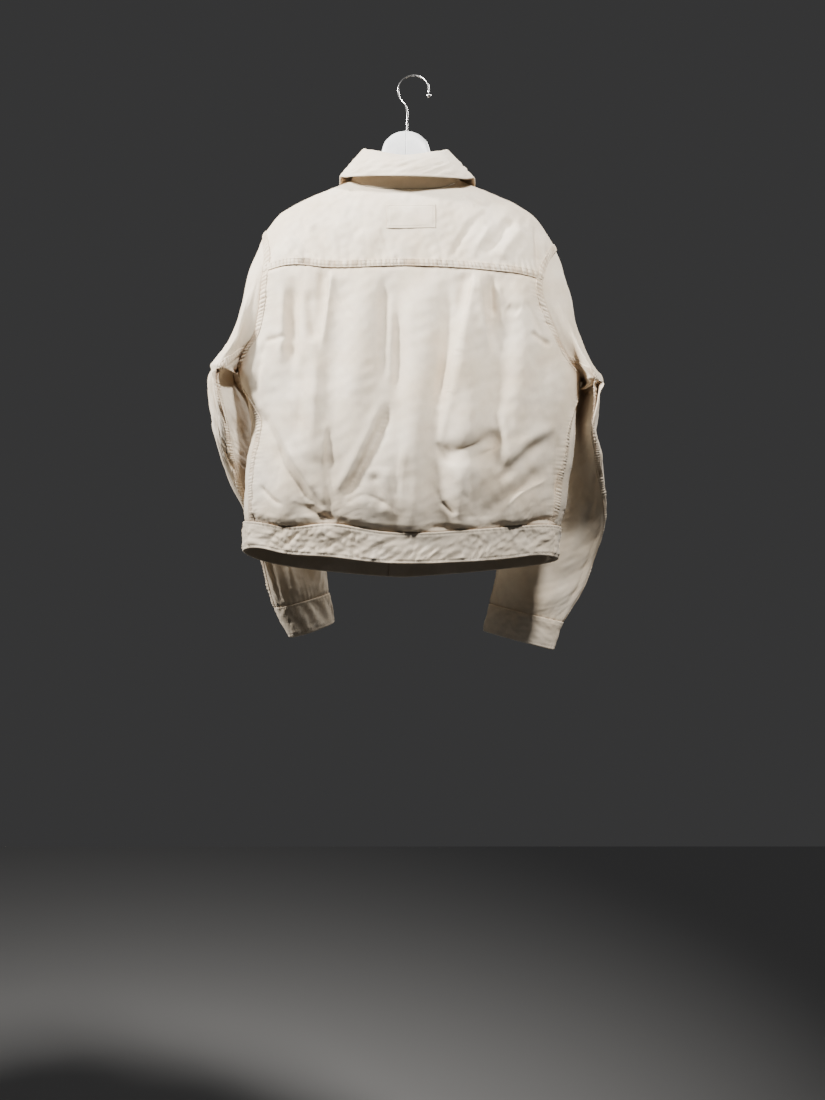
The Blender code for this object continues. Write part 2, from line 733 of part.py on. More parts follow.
def trim(angle, z, top=False, bottom=False, start=None, end=None):
    """Pull the edges of a grid of angles and heights in by half a seam gap.

    start and end give the row from which on the first and the last column are pulled in.
    """
    half = GAP / 2
    z[:, 0] -= half * top
    z[:, -1] += half * bottom
    turn = half / 0.07
    rows = np.arange(z.shape[1])
    start = 0 if start is None else rows >= start
    end = 0 if end is None else rows >= end
    angle[0] += turn * np.sign(angle[1] - angle[0]) * start
    angle[-1] += turn * np.sign(angle[-2] - angle[-1]) * end
    return angle, z


def shares(count):
    """Even shares from 0 to 1."""
    return np.linspace(0, 1, count)


# ---------------------------------------------------------------- back, yoke and fronts


def back_columns():
    """Places of the yoke's columns along the shoulder lines and the neckline."""
    left = top_columns("left", "back")
    right = top_columns("right", "back")
    return np.concatenate([left, -right[-2::-1]])


def make_back(material):
    """Back panel, from the yoke seam to the waistband seam."""
    u = shares(len(back_columns()))
    loops = {side: arm_steps(side)["back"] for side in SIDES}
    left = arm_and_side("left", loops["left"])
    right = arm_and_side("right", loops["right"])
    foot = blend(left[0][-1], right[0][-1], u)
    v = row_shares("back", BACK_ARM_STEPS + 1)
    grid = fill(left, right, yoke_edge(u), (foot, waist("seam", foot)), v, ARM_REACH["back"])
    corner = BACK_ARM_STEPS
    grid = trim(*grid, top=True, bottom=True, start=corner, end=corner)
    walls = [(0, "left", loops["left"]), (-1, "right", loops["right"])]
    panel("back", grid, material, walls=walls)


def make_yoke(material):
    """Back yoke, from the shoulder lines and the neckline to the yoke seam."""
    x = back_columns()
    v = shares(YOKE_STEPS + 1) ** 2
    top = top_edge(x, True)
    bottom = yoke_edge(shares(len(x)))
    angle = blend(top[0][:, None], bottom[0][:, None], v)
    z = blend(top[1][:, None], bottom[1][:, None], v)
    walls = []
    for side, column in (("left", 0), ("right", -1)):
        loop = arm_steps(side)["yoke"]
        points, ring = armhole(side, loop)
        share = shares(len(x)) if column else 1 - shares(len(x))
        fade = share[:, None] ** 6
        angle = angle + (ring - angle[column]) * fade
        z = z + (points[:, 2] - z[column]) * fade
        walls.append((column, side, loop))
    grid = trim(angle, z, bottom=True)
    panel("back_yoke", grid, material, walls=walls, ridge=1)


def make_fronts(material):
    """Left and right front panels; the button band laps over the right one's edge."""
    for side, sign in SIDES.items():
        top = top_edge(top_columns(side, "front"), False)
        top = (top[0] if sign > 0 else math.pi - top[0], top[1])
        steps = arm_steps(side)
        loop = np.concatenate([steps["front"][::-1], steps["under"][-2::-1]])
        edge = arm_and_side(side, loop)
        v = row_shares("front", len(loop))
        foot = front_foot(side)
        front_z = blend(top[1][-1], waist("seam", foot[-1]), v)
        front = (blend(top[0][-1], foot[-1], v), front_z)
        bottom = (foot, waist("seam", foot))
        grid = fill(edge, front, top, bottom, v, ARM_REACH["front"])
        grid = trim(*grid, bottom=True, start=len(loop) - 1, end=0)
        panel("front_" + side, grid, material, walls=[(0, side, loop)], ridge=-1)


def front_foot(side):
    """Angles of a front's columns along the waistband seam."""
    count = len(top_columns(side, "front"))
    half = float(along(BODY, "half", -0.77))
    lean = math.asin((OVERLAP / half) ** (ROUNDNESS / 2))
    if side == "left":
        return blend(SIDE_SEAM_ANGLE, lean - math.pi / 2, shares(count))
    return blend(math.pi - SIDE_SEAM_ANGLE, 1.5 * math.pi + lean, shares(count))


def make_placket(material):
    """Button band: sewn to the left front's edge, it laps over the right front."""
    u = shares(4)
    v = shares(16)
    x = blend(OVERLAP + PLACKET_SEAM, -OVERLAP, u)[:, None] + 0 * v
    z_top = neck_z(x, False) - 0.006
    z_low = waist("seam", -math.pi / 2) + 0.0016
    z = blend(z_top, z_low, v)
    angle = np.where(x >= 0, -body_angle(x, z), body_angle(x, z) - math.pi)
    panel("placket", (angle, z), material, lift=PLACKET_LIFT + 0 * angle)


def make_patch(material):
    """Bare rectangular patch on the yoke, turned a little."""
    u = shares(6)
    v = shares(4)
    across = blend(-PATCH["width"] / 2, PATCH["width"] / 2, u)[:, None] + 0 * v
    down = blend(PATCH["height"] / 2, -PATCH["height"] / 2, v)[None] + 0 * across
    x = PATCH["x"] - HANGER_X + across
    z = PATCH["z"] + down + PATCH["tilt"] * across
    angle = np.where(x >= 0, body_angle(x, z), math.pi - body_angle(x, z))
    panel("yoke_patch", (angle, z), material, lift=LAYER + 0 * angle)


def make_waistband(material):
    """Waistband: the back band and the two front bands, the left one lapping over the right."""
    v = shares(4)
    back = blend(SIDE_SEAM_ANGLE, math.pi - SIDE_SEAM_ANGLE, shares(len(back_columns())))
    left = front_foot("left")
    lap = [-math.pi / 2, 2 * -math.pi / 2 - left[-1]]
    bands = {
        "waistband_back": back,
        "waistband_front_left": np.concatenate([left, lap]),
        "waistband_front_right": front_foot("right"),
    }
    for name, columns in bands.items():
        angle = columns[:, None] + 0 * v
        z = blend(waist("seam", angle), waist("hem", angle), v)
        last = 0 if name == "waistband_back" else None
        angle, z = trim(angle, z, top=True, start=0, end=last)
        lift = BAND_PROUD + 0 * angle
        if name == "waistband_front_left":
            lift[len(left) - 1:] += BAND_CLOTH + 1.5 * GAP
        panel(name, (angle, z), material, BAND_CLOTH, lift)


# ---------------------------------------------------------------- sleeves and cuffs


def make_sleeves(material):
    """Upper and under piece of each sleeve, from the armhole to the cuff."""
    for side in SIDES:
        surface, normals = sleeve_surface(side)
        normals[:, 0], apart = arm_walls(side, arm_loop(side))
        normals[:, -1] = level_with_ring(normals[:, -1], surface[:, -1])
        back_seam = YOKE_STEPS + BACK_ARM_STEPS - UNDER_STEPS
        front_seam = YOKE_STEPS + BACK_ARM_STEPS + UNDER_STEPS
        last = len(surface) - 1
        halves = {
            "upper": np.append(np.arange(front_seam, last), np.arange(back_seam + 1)),
            "under": np.arange(back_seam, front_seam + 1),
        }
        for half, columns in halves.items():
            outer = surface[columns]
            outer[0] += unit(outer[1] - outer[0]) * GAP / 2
            outer[-1] += unit(outer[-2] - outer[-1]) * GAP / 2
            outer[:, 0] += apart[columns] * GAP / 2
            wall(f"sleeve_{side}_{half}", outer, -normals[columns], CLOTH, material)


def level_with_ring(directions, ring):
    """Directions laid in the plane of a ring of points."""
    spread = ring - ring.mean(axis=0)
    axis = np.linalg.svd(spread)[2][2]
    return unit(directions - np.sum(directions * axis, axis=-1, keepdims=True) * axis)


def make_cuffs(material):
    """Cuffs: each a band round the sleeve's end whose ends lap on its outer face."""
    for side in SIDES:
        angle = np.radians(blend(CUFF_UNDER_END, CUFF_OVER_END, shares(CUFF_COLUMNS)))
        first = SLEEVE_ENDS[side]
        outer, middle = sleeve_points(side, angle, first, first + 1, 3)
        normals = grid_normals(outer, middle)
        normals[:, 0] = level_with_ring(normals[:, 0], outer[:, 0])
        under = ease((math.radians(CUFF_UNDER_END + 50) - angle) / math.radians(25))
        lift = CUFF_PROUD - (BAND_CLOTH + 2 * GAP) * under
        fall = unit(outer[:, 1] - outer[:, 0])
        outer = outer + normals * lift[:, None, None]
        outer[:, 0] += fall * 1.5 * GAP
        wall("cuff_" + side, outer, -normals, BAND_CLOTH, material)


# ---------------------------------------------------------------- collar


def neck_points(angle):
    """Neckline: angle 0 at the left shoulder, 90 at the back."""
    x = NECK_HALF * np.cos(angle)
    behind = np.sin(angle) >= 0
    z = np.where(behind, neck_z(x, True), neck_z(x, False))
    ring = np.where(x >= 0, body_angle(x, z), math.pi - body_angle(x, z))
    return body_points(np.where(behind, ring, -ring), z)


def collar_line(name, angle):
    """The collar's fold or its falling edge, by the angle round the neck."""
    degrees = np.degrees(angle)
    axes = [along(COLLAR, name + "_" + axis, degrees, "angle") for axis in "xyz"]
    return np.stack([axes[0] + HANGER_X, axes[1], axes[2]], axis=-1)


def collar_angles():
    """Angles round the neck, from the left front to the right front, at the panels' columns."""
    left = -math.acos(OVERLAP / NECK_HALF)
    steps = np.degrees(NECK_TURNS[1] - NECK_TURNS[0])
    inner = np.radians(np.arange(COLLAR_FIRST_ANGLE, 270.0, steps))
    ends = [-math.pi / 2 + COLLAR_GAP_ANGLE, left]
    return np.concatenate([ends, inner, [1.5 * math.pi - COLLAR_GAP_ANGLE]])


def collar_outward(angle):
    """Level direction out of the neck."""
    fold = collar_line("fold", angle)
    level = np.stack([fold[:, 0] - HANGER_X, fold[:, 1] * 1.3, 0 * angle], axis=-1)
    return unit(level)


def make_stand(material):
    """Collar stand, rising from the neckline."""
    angle = collar_angles()
    neck = neck_points(angle) + np.array([0, 0, STAND_GAP])
    share = blend(0.0, STAND_SHARE, shares(3))[None, :, None]
    outer = blend(neck[:, None], collar_line("fold", angle)[:, None], share)
    inward = -collar_outward(angle)[:, None] + 0 * outer
    wall("collar_stand", outer, inward, COLLAR_CLOTH, material)


def make_fall(material):
    """Collar fall: it rises from the stand, rolls over and falls outside it."""
    angle = collar_angles()
    neck = neck_points(angle) + np.array([0, 0, STAND_GAP])
    fold = collar_line("fold", angle)
    edge = collar_line("edge", angle)
    out = collar_outward(angle)
    rise = fold - neck
    radius = COLLAR_CLOTH + FOLD_GAP / 2
    up = np.array([0.0, 0.0, 1.0])
    centre = fold + out * FOLD_GAP / 2 - up * radius
    length = np.linalg.norm(rise, axis=-1, keepdims=True)
    foot = blend(neck, fold, STAND_SHARE + GAP / length) - out * COLLAR_CLOTH
    path = [foot, blend(foot, centre - out * radius, 0.5)]
    for turn in np.radians([180, 140, 100, 60, 20]):
        path.append(centre + radius * (out * math.cos(turn) + up * math.sin(turn)))
    shoulder = path[-1]
    for share in (0.2, 0.45, 0.72, 1.0):
        bulge = 0.006 * math.sin(math.pi * share)
        path.append(blend(shoulder, edge, share) + (out + up) * bulge)
    outer = np.stack(path, axis=1)
    normals = grid_normals(outer, centre[:, None])
    wall("collar_fall", outer, -normals, COLLAR_CLOTH, material)


# ---------------------------------------------------------------- buttons, hanger and hook


def make_button(name, centre, normal, material):
    """A round button with a rim, standing on a surface with this normal."""
    profile = [
        (0.0000, 0.0000),
        (0.90, 0.00),
        (1.00, 0.30),
        (0.96, 0.85),
        (0.80, 1.00),
        (0.64, 0.70),
        (0.0000, 0.62),
    ]
    normal = unit(np.asarray(normal))
    side = unit(np.cross(normal, [0.0, 0.0, 1.0]))
    up = np.cross(side, normal)
    turns = 14
    vertices = [centre + normal * GAP]
    for radius, height in profile[1:-1]:
        for step in range(turns):
            turn = 2 * math.pi * step / turns
            level = side * math.cos(turn) + up * math.sin(turn)
            offset = level * radius * BUTTON_RADIUS + normal * (GAP + height * BUTTON_HEIGHT)
            vertices.append(centre + offset)
    vertices.append(centre + normal * (GAP + profile[-1][1] * BUTTON_HEIGHT))
    faces = []
    last = len(vertices) - 1
    for step in range(turns):
        following = (step + 1) % turns
        faces.append((0, 1 + following, 1 + step))
        for ring in range(len(profile) - 3):
            low = 1 + ring * turns
            high = low + turns
            faces.append((low + step, low + following, high + following, high + step))
        faces.append((high + step, high + following, last))
    add_object(name, vertices, faces, material)


def make_buttons(material):
    """Buttons down the placket, on the waistband and on each cuff."""
    middle = -math.pi / 2
    top = float(neck_z(0.0, False)) - 0.022
    low = float(waist("seam", middle)) + 0.050
    for number in range(FRONT_BUTTONS):
        z = blend(top, low, number / (FRONT_BUTTONS - 1))
        place_button(f"button_front_{number + 1}", middle, z, PLACKET_LIFT, material)
    z = (waist("seam", middle) + waist("hem", middle)) / 2
    place_button("button_waistband", middle, float(z), BAND_PROUD + BAND_CLOTH + 1.5 * GAP, material)
    for side in SIDES:
        first = SLEEVE_ENDS[side]
        angle = np.radians([47.0, 48.0, 49.0])
        outer, inside = sleeve_points(side, angle, first, first + 1, 3)
        normal = grid_normals(outer, inside)[1, 1]
        make_button("button_cuff_" + side, outer[1, 1] + normal * 0.0012, normal, material)


def place_button(name, angle, z, lift, material):
    """A button on the body at an angle and a height, standing lift above its surface."""
    angle = np.array([angle])
    z = np.array([z])
    normal = body_normals(angle, z)[0]
    make_button(name, body_points(angle, z)[0] + normal * (lift + 0.0006), normal, material)


def make_hanger(material):
    """Two moulded halves that meet in a joint at the neck."""
    turns = 16
    for side, sign in SIDES.items():
        x = HANGER["x"].copy()
        x[0] = GAP / 2
        angle = 2 * math.pi * np.arange(turns) / turns
        height = (HANGER["top"] - HANGER["bottom"]) / 2
        middle = (HANGER["top"] + HANGER["bottom"]) / 2
        y = HANGER["half_depth"][:, None] * signed_power(np.sin(angle), 0.9)
        z = middle[:, None] + height[:, None] * signed_power(np.cos(angle), 0.9)
        world_x = HANGER_X + sign * x[:, None] + 0 * y
        vertices = np.stack([world_x, y, z], axis=-1).reshape(-1, 3)
        faces = []
        for ring in range(len(x) - 1):
            for step in range(turns):
                following = (step + 1) % turns
                a = ring * turns
                b = a + turns
                faces.append((a + step, a + following, b + following, b + step))
        faces.append(tuple(range(turns)))
        faces.append(tuple(range((len(x) - 1) * turns, len(x) * turns)))
        add_object("hanger_" + side, vertices, faces, material)


def hook_path():
    """The hook's centre line, from the hanger's neck to the ball."""
    dome = float(along(HANGER, "top", abs(SHANK_X - HANGER_X), "x"))
    points = [(SHANK_X, dome + GAP), (SHANK_X, dome + 0.012), (SHANK_X, SHANK_TOP_Z)]
    points.append((SHANK_X + 0.0035, SHANK_TOP_Z + 0.0100))
    points.append((SHANK_X + 0.0105, SHANK_TOP_Z + 0.0185))
    for degrees in range(-12, 189, 10):
        turn = math.radians(degrees)
        points.append((HOOK_RADIUS * math.cos(turn), HOOK_Z + HOOK_RADIUS * math.sin(turn)))
    return points


def make_hook(material):
    """Steel wire hook, with a ball on its end."""
    points = hook_path()
    curve = bpy.data.curves.new("hook", "CURVE")
    curve.dimensions = "3D"
    curve.bevel_depth = WIRE / 2
    curve.bevel_resolution = 2
    curve.use_fill_caps = True
    line = curve.splines.new("POLY")
    line.points.add(len(points) - 1)
    for point, (x, z) in zip(line.points, points):
        point.co = (x, 0.0, z, 1.0)
    curve.materials.append(material)
    wire = bpy.data.objects.new("hook", curve)
    bpy.context.scene.collection.objects.link(wire)
    end = np.array(points[-1])
    heading = unit(end - np.array(points[-2]))
    centre = end + heading * (BALL_RADIUS + GAP)
    ball = bpy.data.meshes.new("hook_ball")
    shape = bmesh.new()
    bmesh.ops.create_uvsphere(shape, u_segments=14, v_segments=9, radius=BALL_RADIUS)
    shape.to_mesh(ball)
    shape.free()
    ball.shade_smooth()
    ball.materials.append(material)
    tip = bpy.data.objects.new("hook_ball", ball)
    tip.location = (centre[0], 0.0, centre[1])
    bpy.context.scene.collection.objects.link(tip)


def main():
    """Build the jacket and its hanger."""
    for old in list(bpy.data.objects):
        bpy.data.objects.remove(old, do_unlink=True)
    drill = cloth_material("ecru_drill", (0.80, 0.74, 0.64))
    resin = cloth_material("cream_resin", (0.72, 0.66, 0.55), 0.4)
    plastic = cloth_material("white_plastic", (0.78, 0.79, 0.80), 0.45)
    steel = cloth_material("bright_steel", (0.62, 0.62, 0.62), 0.25, 1.0)
    make_back(drill)
    make_yoke(drill)
    make_patch(drill)
    make_fronts(drill)
    make_placket(drill)
    make_waistband(drill)
    make_sleeves(drill)
    make_cuffs(drill)
    make_stand(drill)
    make_fall(drill)
    make_buttons(resin)
    make_hanger(plastic)
    make_hook(steel)


main()
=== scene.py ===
"""Looks of a cropped trucker jacket of light drill cloth on a wide-shouldered hanger.

Metres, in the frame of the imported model: +Z up, the jacket's front faces -Y, and the origin is
the inside top of the hook. The cloth pieces are surfaces worked out from the same tables as the
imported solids, on a finer grid, with folds, creases, felled seams and puckers raised along their
normals.
"""

import math

import bpy
import bmesh
import numpy as np
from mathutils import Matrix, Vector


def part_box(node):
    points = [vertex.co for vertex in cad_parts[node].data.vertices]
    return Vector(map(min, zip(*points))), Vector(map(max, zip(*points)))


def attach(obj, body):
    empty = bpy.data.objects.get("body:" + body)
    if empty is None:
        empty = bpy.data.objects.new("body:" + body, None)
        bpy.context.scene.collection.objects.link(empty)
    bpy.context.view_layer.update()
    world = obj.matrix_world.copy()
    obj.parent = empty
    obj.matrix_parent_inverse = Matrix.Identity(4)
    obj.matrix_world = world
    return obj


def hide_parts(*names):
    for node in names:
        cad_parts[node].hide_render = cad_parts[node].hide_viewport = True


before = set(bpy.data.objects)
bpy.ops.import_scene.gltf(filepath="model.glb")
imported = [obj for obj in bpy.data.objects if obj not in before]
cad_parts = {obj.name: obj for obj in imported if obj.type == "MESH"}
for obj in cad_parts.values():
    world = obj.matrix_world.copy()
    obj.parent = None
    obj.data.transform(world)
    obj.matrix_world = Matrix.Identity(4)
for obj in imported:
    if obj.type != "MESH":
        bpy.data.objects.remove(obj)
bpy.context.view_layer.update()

# ---------------------------------------------------------------- camera, floor and light

IMAGE = (825, 1100)
FOCUS_PIXELS = 1625.0
SENSOR = 36.0
CAMERA_PLACE = (0.0016, 2.65, -0.772)
FLOOR_Z = -2.35
FLOOR_HALF = 6
FLOOR_LOOK = ((0.62, 0.62, 0.62), 0.8)
WORLD_COLOUR = (0.62, 0.62, 0.63, 1.0)
WORLD_STRENGTH = 0.07
LAMP_COLOUR = (1.0, 0.97, 0.93)
# Soft boxes: name, place, the point it is turned to, its side, its power and its beam in degrees.
LAMPS = (
    ("key", (-0.72, 1.68, 1.3), (0.0, 0.0, -0.36), 0.32, 11.4, 50),
    ("side", (2.3, 0.8, 0.9), (0.28, 0.0, -0.22), 0.36, 11.0, 32),
    ("front", (-1.5, -2.0, 0.9), (0.0, 0.0, -0.28), 0.7, 9.0, 60),
)


def make_camera():
    """Level camera behind the jacket, looking along -Y."""
    lens = bpy.data.cameras.new("camera")
    lens.sensor_fit = "AUTO"
    lens.sensor_width = SENSOR
    lens.lens = FOCUS_PIXELS / max(IMAGE) * SENSOR
    camera = bpy.data.objects.new("camera", lens)
    camera.location = CAMERA_PLACE
    camera.rotation_euler = (math.pi / 2, 0.0, math.pi)
    bpy.context.scene.collection.objects.link(camera)
    bpy.context.scene.camera = camera


def make_light(name, place, aim, size, power, beam):
    """Square soft box at a place, turned to its aim, its light kept within a beam in degrees."""
    light = bpy.data.lights.new(name, "AREA")
    light.size = size
    light.energy = power
    light.spread = math.radians(beam)
    light.color = LAMP_COLOUR
    lamp = bpy.data.objects.new(name, light)
    back = np.array(place) - np.array(aim)
    level = math.hypot(back[0], back[1])
    lamp.location = place
    lamp.rotation_euler = (math.atan2(level, back[2]), 0.0, math.atan2(back[0], -back[1]))
    bpy.context.scene.collection.objects.link(lamp)


def make_studio():
    """Plain pale floor, a faint pale surround and three soft boxes."""
    world = bpy.data.worlds.new("surround")
    world.use_nodes = True
    ground = world.node_tree.nodes["Background"]
    ground.inputs["Color"].default_value = WORLD_COLOUR
    ground.inputs["Strength"].default_value = WORLD_STRENGTH
    bpy.context.scene.world = world
    half = FLOOR_HALF
    around = ((-half, -half), (half, -half), (half, half), (-half, half))
    corners = [(x, y, FLOOR_Z) for x, y in around]
    mesh = bpy.data.meshes.new("floor")
    mesh.from_pydata(corners, [], [(0, 1, 2, 3)])
    floor = bpy.data.objects.new("floor", mesh)
    bpy.context.scene.collection.objects.link(floor)
    mesh.materials.append(plain_material("pale_floor", *FLOOR_LOOK))
    for lamp in LAMPS:
        make_light(*lamp)


def plain_material(name, colour, roughness, metallic=0.0):
    """A Principled material with this colour, roughness and metallic value."""
    material = bpy.data.materials.new(name)
    material.use_nodes = True
    shader = material.node_tree.nodes["Principled BSDF"]
    shader.inputs["Base Color"].default_value = (*colour, 1.0)
    shader.inputs["Roughness"].default_value = roughness
    shader.inputs["Metallic"].default_value = metallic
    return material


# ---------------------------------------------------------------- measures shared with the solids

# Thicknesses and gaps.
CLOTH = 0.0015
BAND_CLOTH = 0.0026
COLLAR_CLOTH = 0.0022
GAP = 0.0003
LAYER = CLOTH + GAP + 0.0001

# The body. Widths are measured from its centre line, which wanders a little as it hangs.
ROUNDNESS = 2.5
SHOULDER_ROUND = 0.12
SIDE_SEAM_ANGLE = math.radians(19.0)
SIDE_SEAM_RUN = 0.1
NECK_HALF = 0.089
NECK_BACK_Z = -0.1945
NECK_FRONT_Z = -0.245
OVERLAP = 0.018
PLACKET_SEAM = 0.006
PLACKET_LIFT = LAYER + 0.0006

# Columns that hold plain numbers or degrees; all the others are lengths.
PLAIN = {"angle", "drop", "keen", "lean", "side", "slip", "turn"}


def table(names, rows):
    """The named columns of a short table, as arrays; lengths go from millimetres to metres."""
    columns = dict(zip(names.split(), np.array(rows, float).T))
    return {name: values if name in PLAIN else values / 1000 for name, values in columns.items()}


# Body rings from the neck to below the hem.
BODY = table("z centre half back front", [
    (-150, 12.4, 262, 50, 52), (-200, 12.4, 262, 68, 62), (-260, 12.4, 262, 74, 68),
    (-330, 12.4, 263, 82, 72), (-400, 11, 266, 90, 74), (-450, 9, 275, 94, 75),
    (-480, 8, 277.5, 96, 76), (-530, 3, 266.5, 100, 77), (-585, 2, 262, 103, 78),
    (-625, 6.9, 264, 102, 77), (-660, 11.7, 262.5, 98, 75), (-700, 14, 261, 90, 71),
    (-740, 18.5, 257, 73, 64), (-800, 21.8, 256.3, 62, 58), (-860, 22.5, 256.3, 61, 57),
])

# Height of the shoulder line, by distance from the centre.
SHOULDER = table("x z", [
    (0, -150), (50, -156), (89, -171.3), (123.7, -185), (154, -197.6), (183, -211.8), (210, -231),
    (226.6, -253), (236.5, -269), (244.7, -284), (252.5, -308), (262, -360),
])

# Armhole seams: how far they stand from the centre, by the share of their height.
ARMHOLE = {
    "left": table("drop back front", [
        (0, 232.5, 232.5), (0.2, 226, 220), (0.4, 231, 214), (0.6, 236.5, 216), (0.8, 250.5, 233),
        (0.9, 267, 252), (1, 277.2, 277.2),
    ]),
    "right": table("drop back front", [
        (0, 244.8, 244.8), (0.1, 231, 232), (0.2, 222, 224), (0.32, 216.5, 216),
        (0.5, 224.5, 214), (0.65, 235, 219), (0.8, 247, 233), (0.92, 261, 254), (1, 275, 275),
    ]),
}
UNDERARM_Z = {"left": -0.476, "right": -0.493}
YOKE_DROP = {"left": 0.3, "right": 0.27}

# Yoke seam across the back.
YOKE_SEAM = table("x z", [
    (-218, -340.7), (-190, -334), (-130, -328), (0, -322), (120, -324), (190, -318),
    (229, -326.6),
])

# Waistband seam and hem, by the angle round the body: 0 left side, 90 back, 180 right side.
WAIST = table("angle seam hem", [
    (-90, -769, -816.3), (-45, -750, -797), (0, -727, -774), (33, -729, -769), (50, -736, -778),
    (70, -731, -783), (90, -745, -793), (108, -741, -790.5), (122, -737, -787), (144, -732, -780),
    (180, -737, -787), (225, -752, -800), (270, -769, -816.3),
])

# Soft folds of the back: a line from start to end, its half width and its height (a trough is
# negative).
BACK_FOLDS = table("x0 z0 x1 z1 width height", [
    (200, -335, 190, -540, 14, -6), (33.9, -535, 110, -705, 13, -7),
    (21.5, -400, 18, -715, 12, -3.5), (48, -340, 43, -520, 12, -3),
    (-55, -340, -45, -470, 12, -3), (-33.4, -625, -144.1, -590, 12, -6.5),
    (-84.9, -735, -215, -640, 13, -8), (-215, -660, -232, -560, 11, -4),
    (-87, -735, -88.5, -640, 8, -4), (190, -695, 123, -730, 11, -6),
    (129, -735, 135, -575, 7, -4.5), (45, -720, 44.9, -640, 13, 4.5),
    (-130, -640, -150, -500, 25, 5), (150, -640, 160, -500, 25, 5),
])

# Pleats of the back: the folded edge from start to end, how far the upper layer runs from it
# before it lies flat again, its height, and the side of the edge it lies on (+1 is +X).
PLEATS = table("x0 z0 x1 z1 run height side", [
    (131.9, -324, 147.5, -460, 30, 6, -1), (-96, -330, -33.4, -616, 34, 6, -1),
    (-105, -340, -124, -470, 28, 4.5, 1),
])

# Sleeve rings from under the armhole to the cuff: outer and inner points before turning, the
# ring's place front to back, its half breadth, its turn, the fall of its back end, its bow, and
# how far its back and front points slip round towards the inner one.
RING_COLUMNS = "outer_x outer_z inner_x inner_z y broad turn lean bow slip"
SLEEVE = {
    "left": table(RING_COLUMNS, [
        (270, -325, 290, -484, 0, 56, 0, 0, -10, 42),
        (282.5, -400, 292.5, -490, -1, 64, 0, 0, -2, 30),
        (311, -450, 292, -497, -2, 72, 0, 0, 0, 14), (333, -480, 289, -507, -6, 78, 0, 0, 0, 4),
        (336.5, -515, 283, -530, -14, 79, 0, 0, 0, 0),
        (329, -556, 276, -560, -28, 78, 5, 0, 0, 0), (307, -605, 264, -605, -50, 75, 20, 0, 0, 0),
        (276, -660, 236, -660, -84, 73, 38, 0, 0, 0),
        (242, -720, 202, -720, -108, 71, 46, -0.06, 0, 0),
        (223, -785, 186, -785, -120, 68, 45, -0.12, 0, 0),
        (206, -858, 174, -858, -126, 64, 40, -0.18, 0, 0),
        (189, -907, 159, -907, -128, 60, 33, -0.18, 0, 0),
    ]),
    "right": table(RING_COLUMNS, [
        (251, -345, 280, -500, 0, 56, 0, 0, -16, 42),
        (268, -420, 282, -505, -1, 64, 0, 0, -6, 30), (285, -466, 279, -510, -2, 72, 0, 0, 0, 14),
        (304, -490, 276, -518, -5, 77, 0, 0, 0, 4), (305.5, -525, 273, -540, -12, 78, 0, 0, 0, 0),
        (297, -575, 266, -578, -30, 78, 4, 0, 0, 0),
        (292.5, -620, 260, -620, -54, 77, 18, 0, 0, 0),
        (282, -680, 252, -680, -88, 76, 38, 0, 0, 0),
        (269, -730, 239, -730, -110, 77, 57, 0, 0, 0),
        (242.5, -785, 212.5, -785, -121, 80, 76, -0.04, 0, 0),
        (229, -830, 200, -830, -123, 74, 79, -0.12, 0, 0),
        (207, -880, 178, -880, -125, 62.5, 80, -0.24, 0, 0),
        (194, -925.4, 165, -925.4, -127, 59.5, 80, -0.26, 0, 0),
    ]),
}
SLEEVE_ENDS = {"left": 11, "right": 12}
RING_POINT = 0.95
SLEEVE_RADIUS = 0.055
SIDES = {"left": 1.0, "right": -1.0}

# Collar. Angles run round the neck: 0 left, 90 back, 180 right, 270 front.
COLLAR_GAP_ANGLE = math.radians(3.0)
STAND_SHARE = 0.66
STAND_GAP = 0.0009
FOLD_GAP = 0.0024
COLLAR = table("angle fold_x fold_y fold_z edge_x edge_y edge_z", [
    (-90, 0, -64, -203, 38, -100, -290), (-70, 26, -60, -193, 62, -95, -274),
    (-40, 54, -40, -160, 96, -68, -222), (-20, 62.5, -21, -139.5, 107, -33, -188),
    (0, 67, 0, -123, 108, 2, -169.5), (40, 57, 31, -127, 93, 48, -173.5),
    (90, 3, 45, -138.5, 3, 80, -179.5), (140, -52, 31, -129, -93, 48, -176.5),
    (180, -67, 0, -124, -113, 2, -171.5), (200, -62.5, -21, -140, -111, -33, -190),
    (220, -54, -40, -160, -98, -68, -223), (250, -26, -60, -193, -62, -95, -274),
    (270, 0, -64, -203, -38, -100, -290),
])

# How far bands and cuffs stand out, where a cuff's ends lie in degrees, the patch and the buttons.
BAND_PROUD = 0.0008
CUFF_PROUD = 0.0006
CUFF_UNDER_END = -325.0
CUFF_OVER_END = 60.0
PATCH = {"x": 0.004, "z": -0.242, "width": 0.077, "height": 0.039, "tilt": -0.01}
PLACKET_CLOTH = 0.0013
PATCH_CLOTH = 0.0009
PATCH_LIFT = 0.0014
BUTTON_RADIUS = 0.0085
BUTTON_HEIGHT = 0.0032
BELOW_NECK = 0.022
ABOVE_BAND = 0.05
CUFF_BUTTON_ANGLE = 48.0
FRONT_BUTTONS = 5
# The button's section: distance from its middle and height, as shares of its radius and height.
BUTTON_PROFILE = (
    (0, 0), (0.8, 0), (0.93, 0.1), (1, 0.35), (1, 0.6), (0.96, 0.86), (0.88, 0.99), (0.8, 1),
    (0.72, 0.9), (0.64, 0.72), (0.56, 0.64), (0.46, 0.62), (0.38, 0.62), (0.32, 0.62),
    (0.26, 0.62), (0.2, 0.62), (0.12, 0.62), (0, 0.62),
)

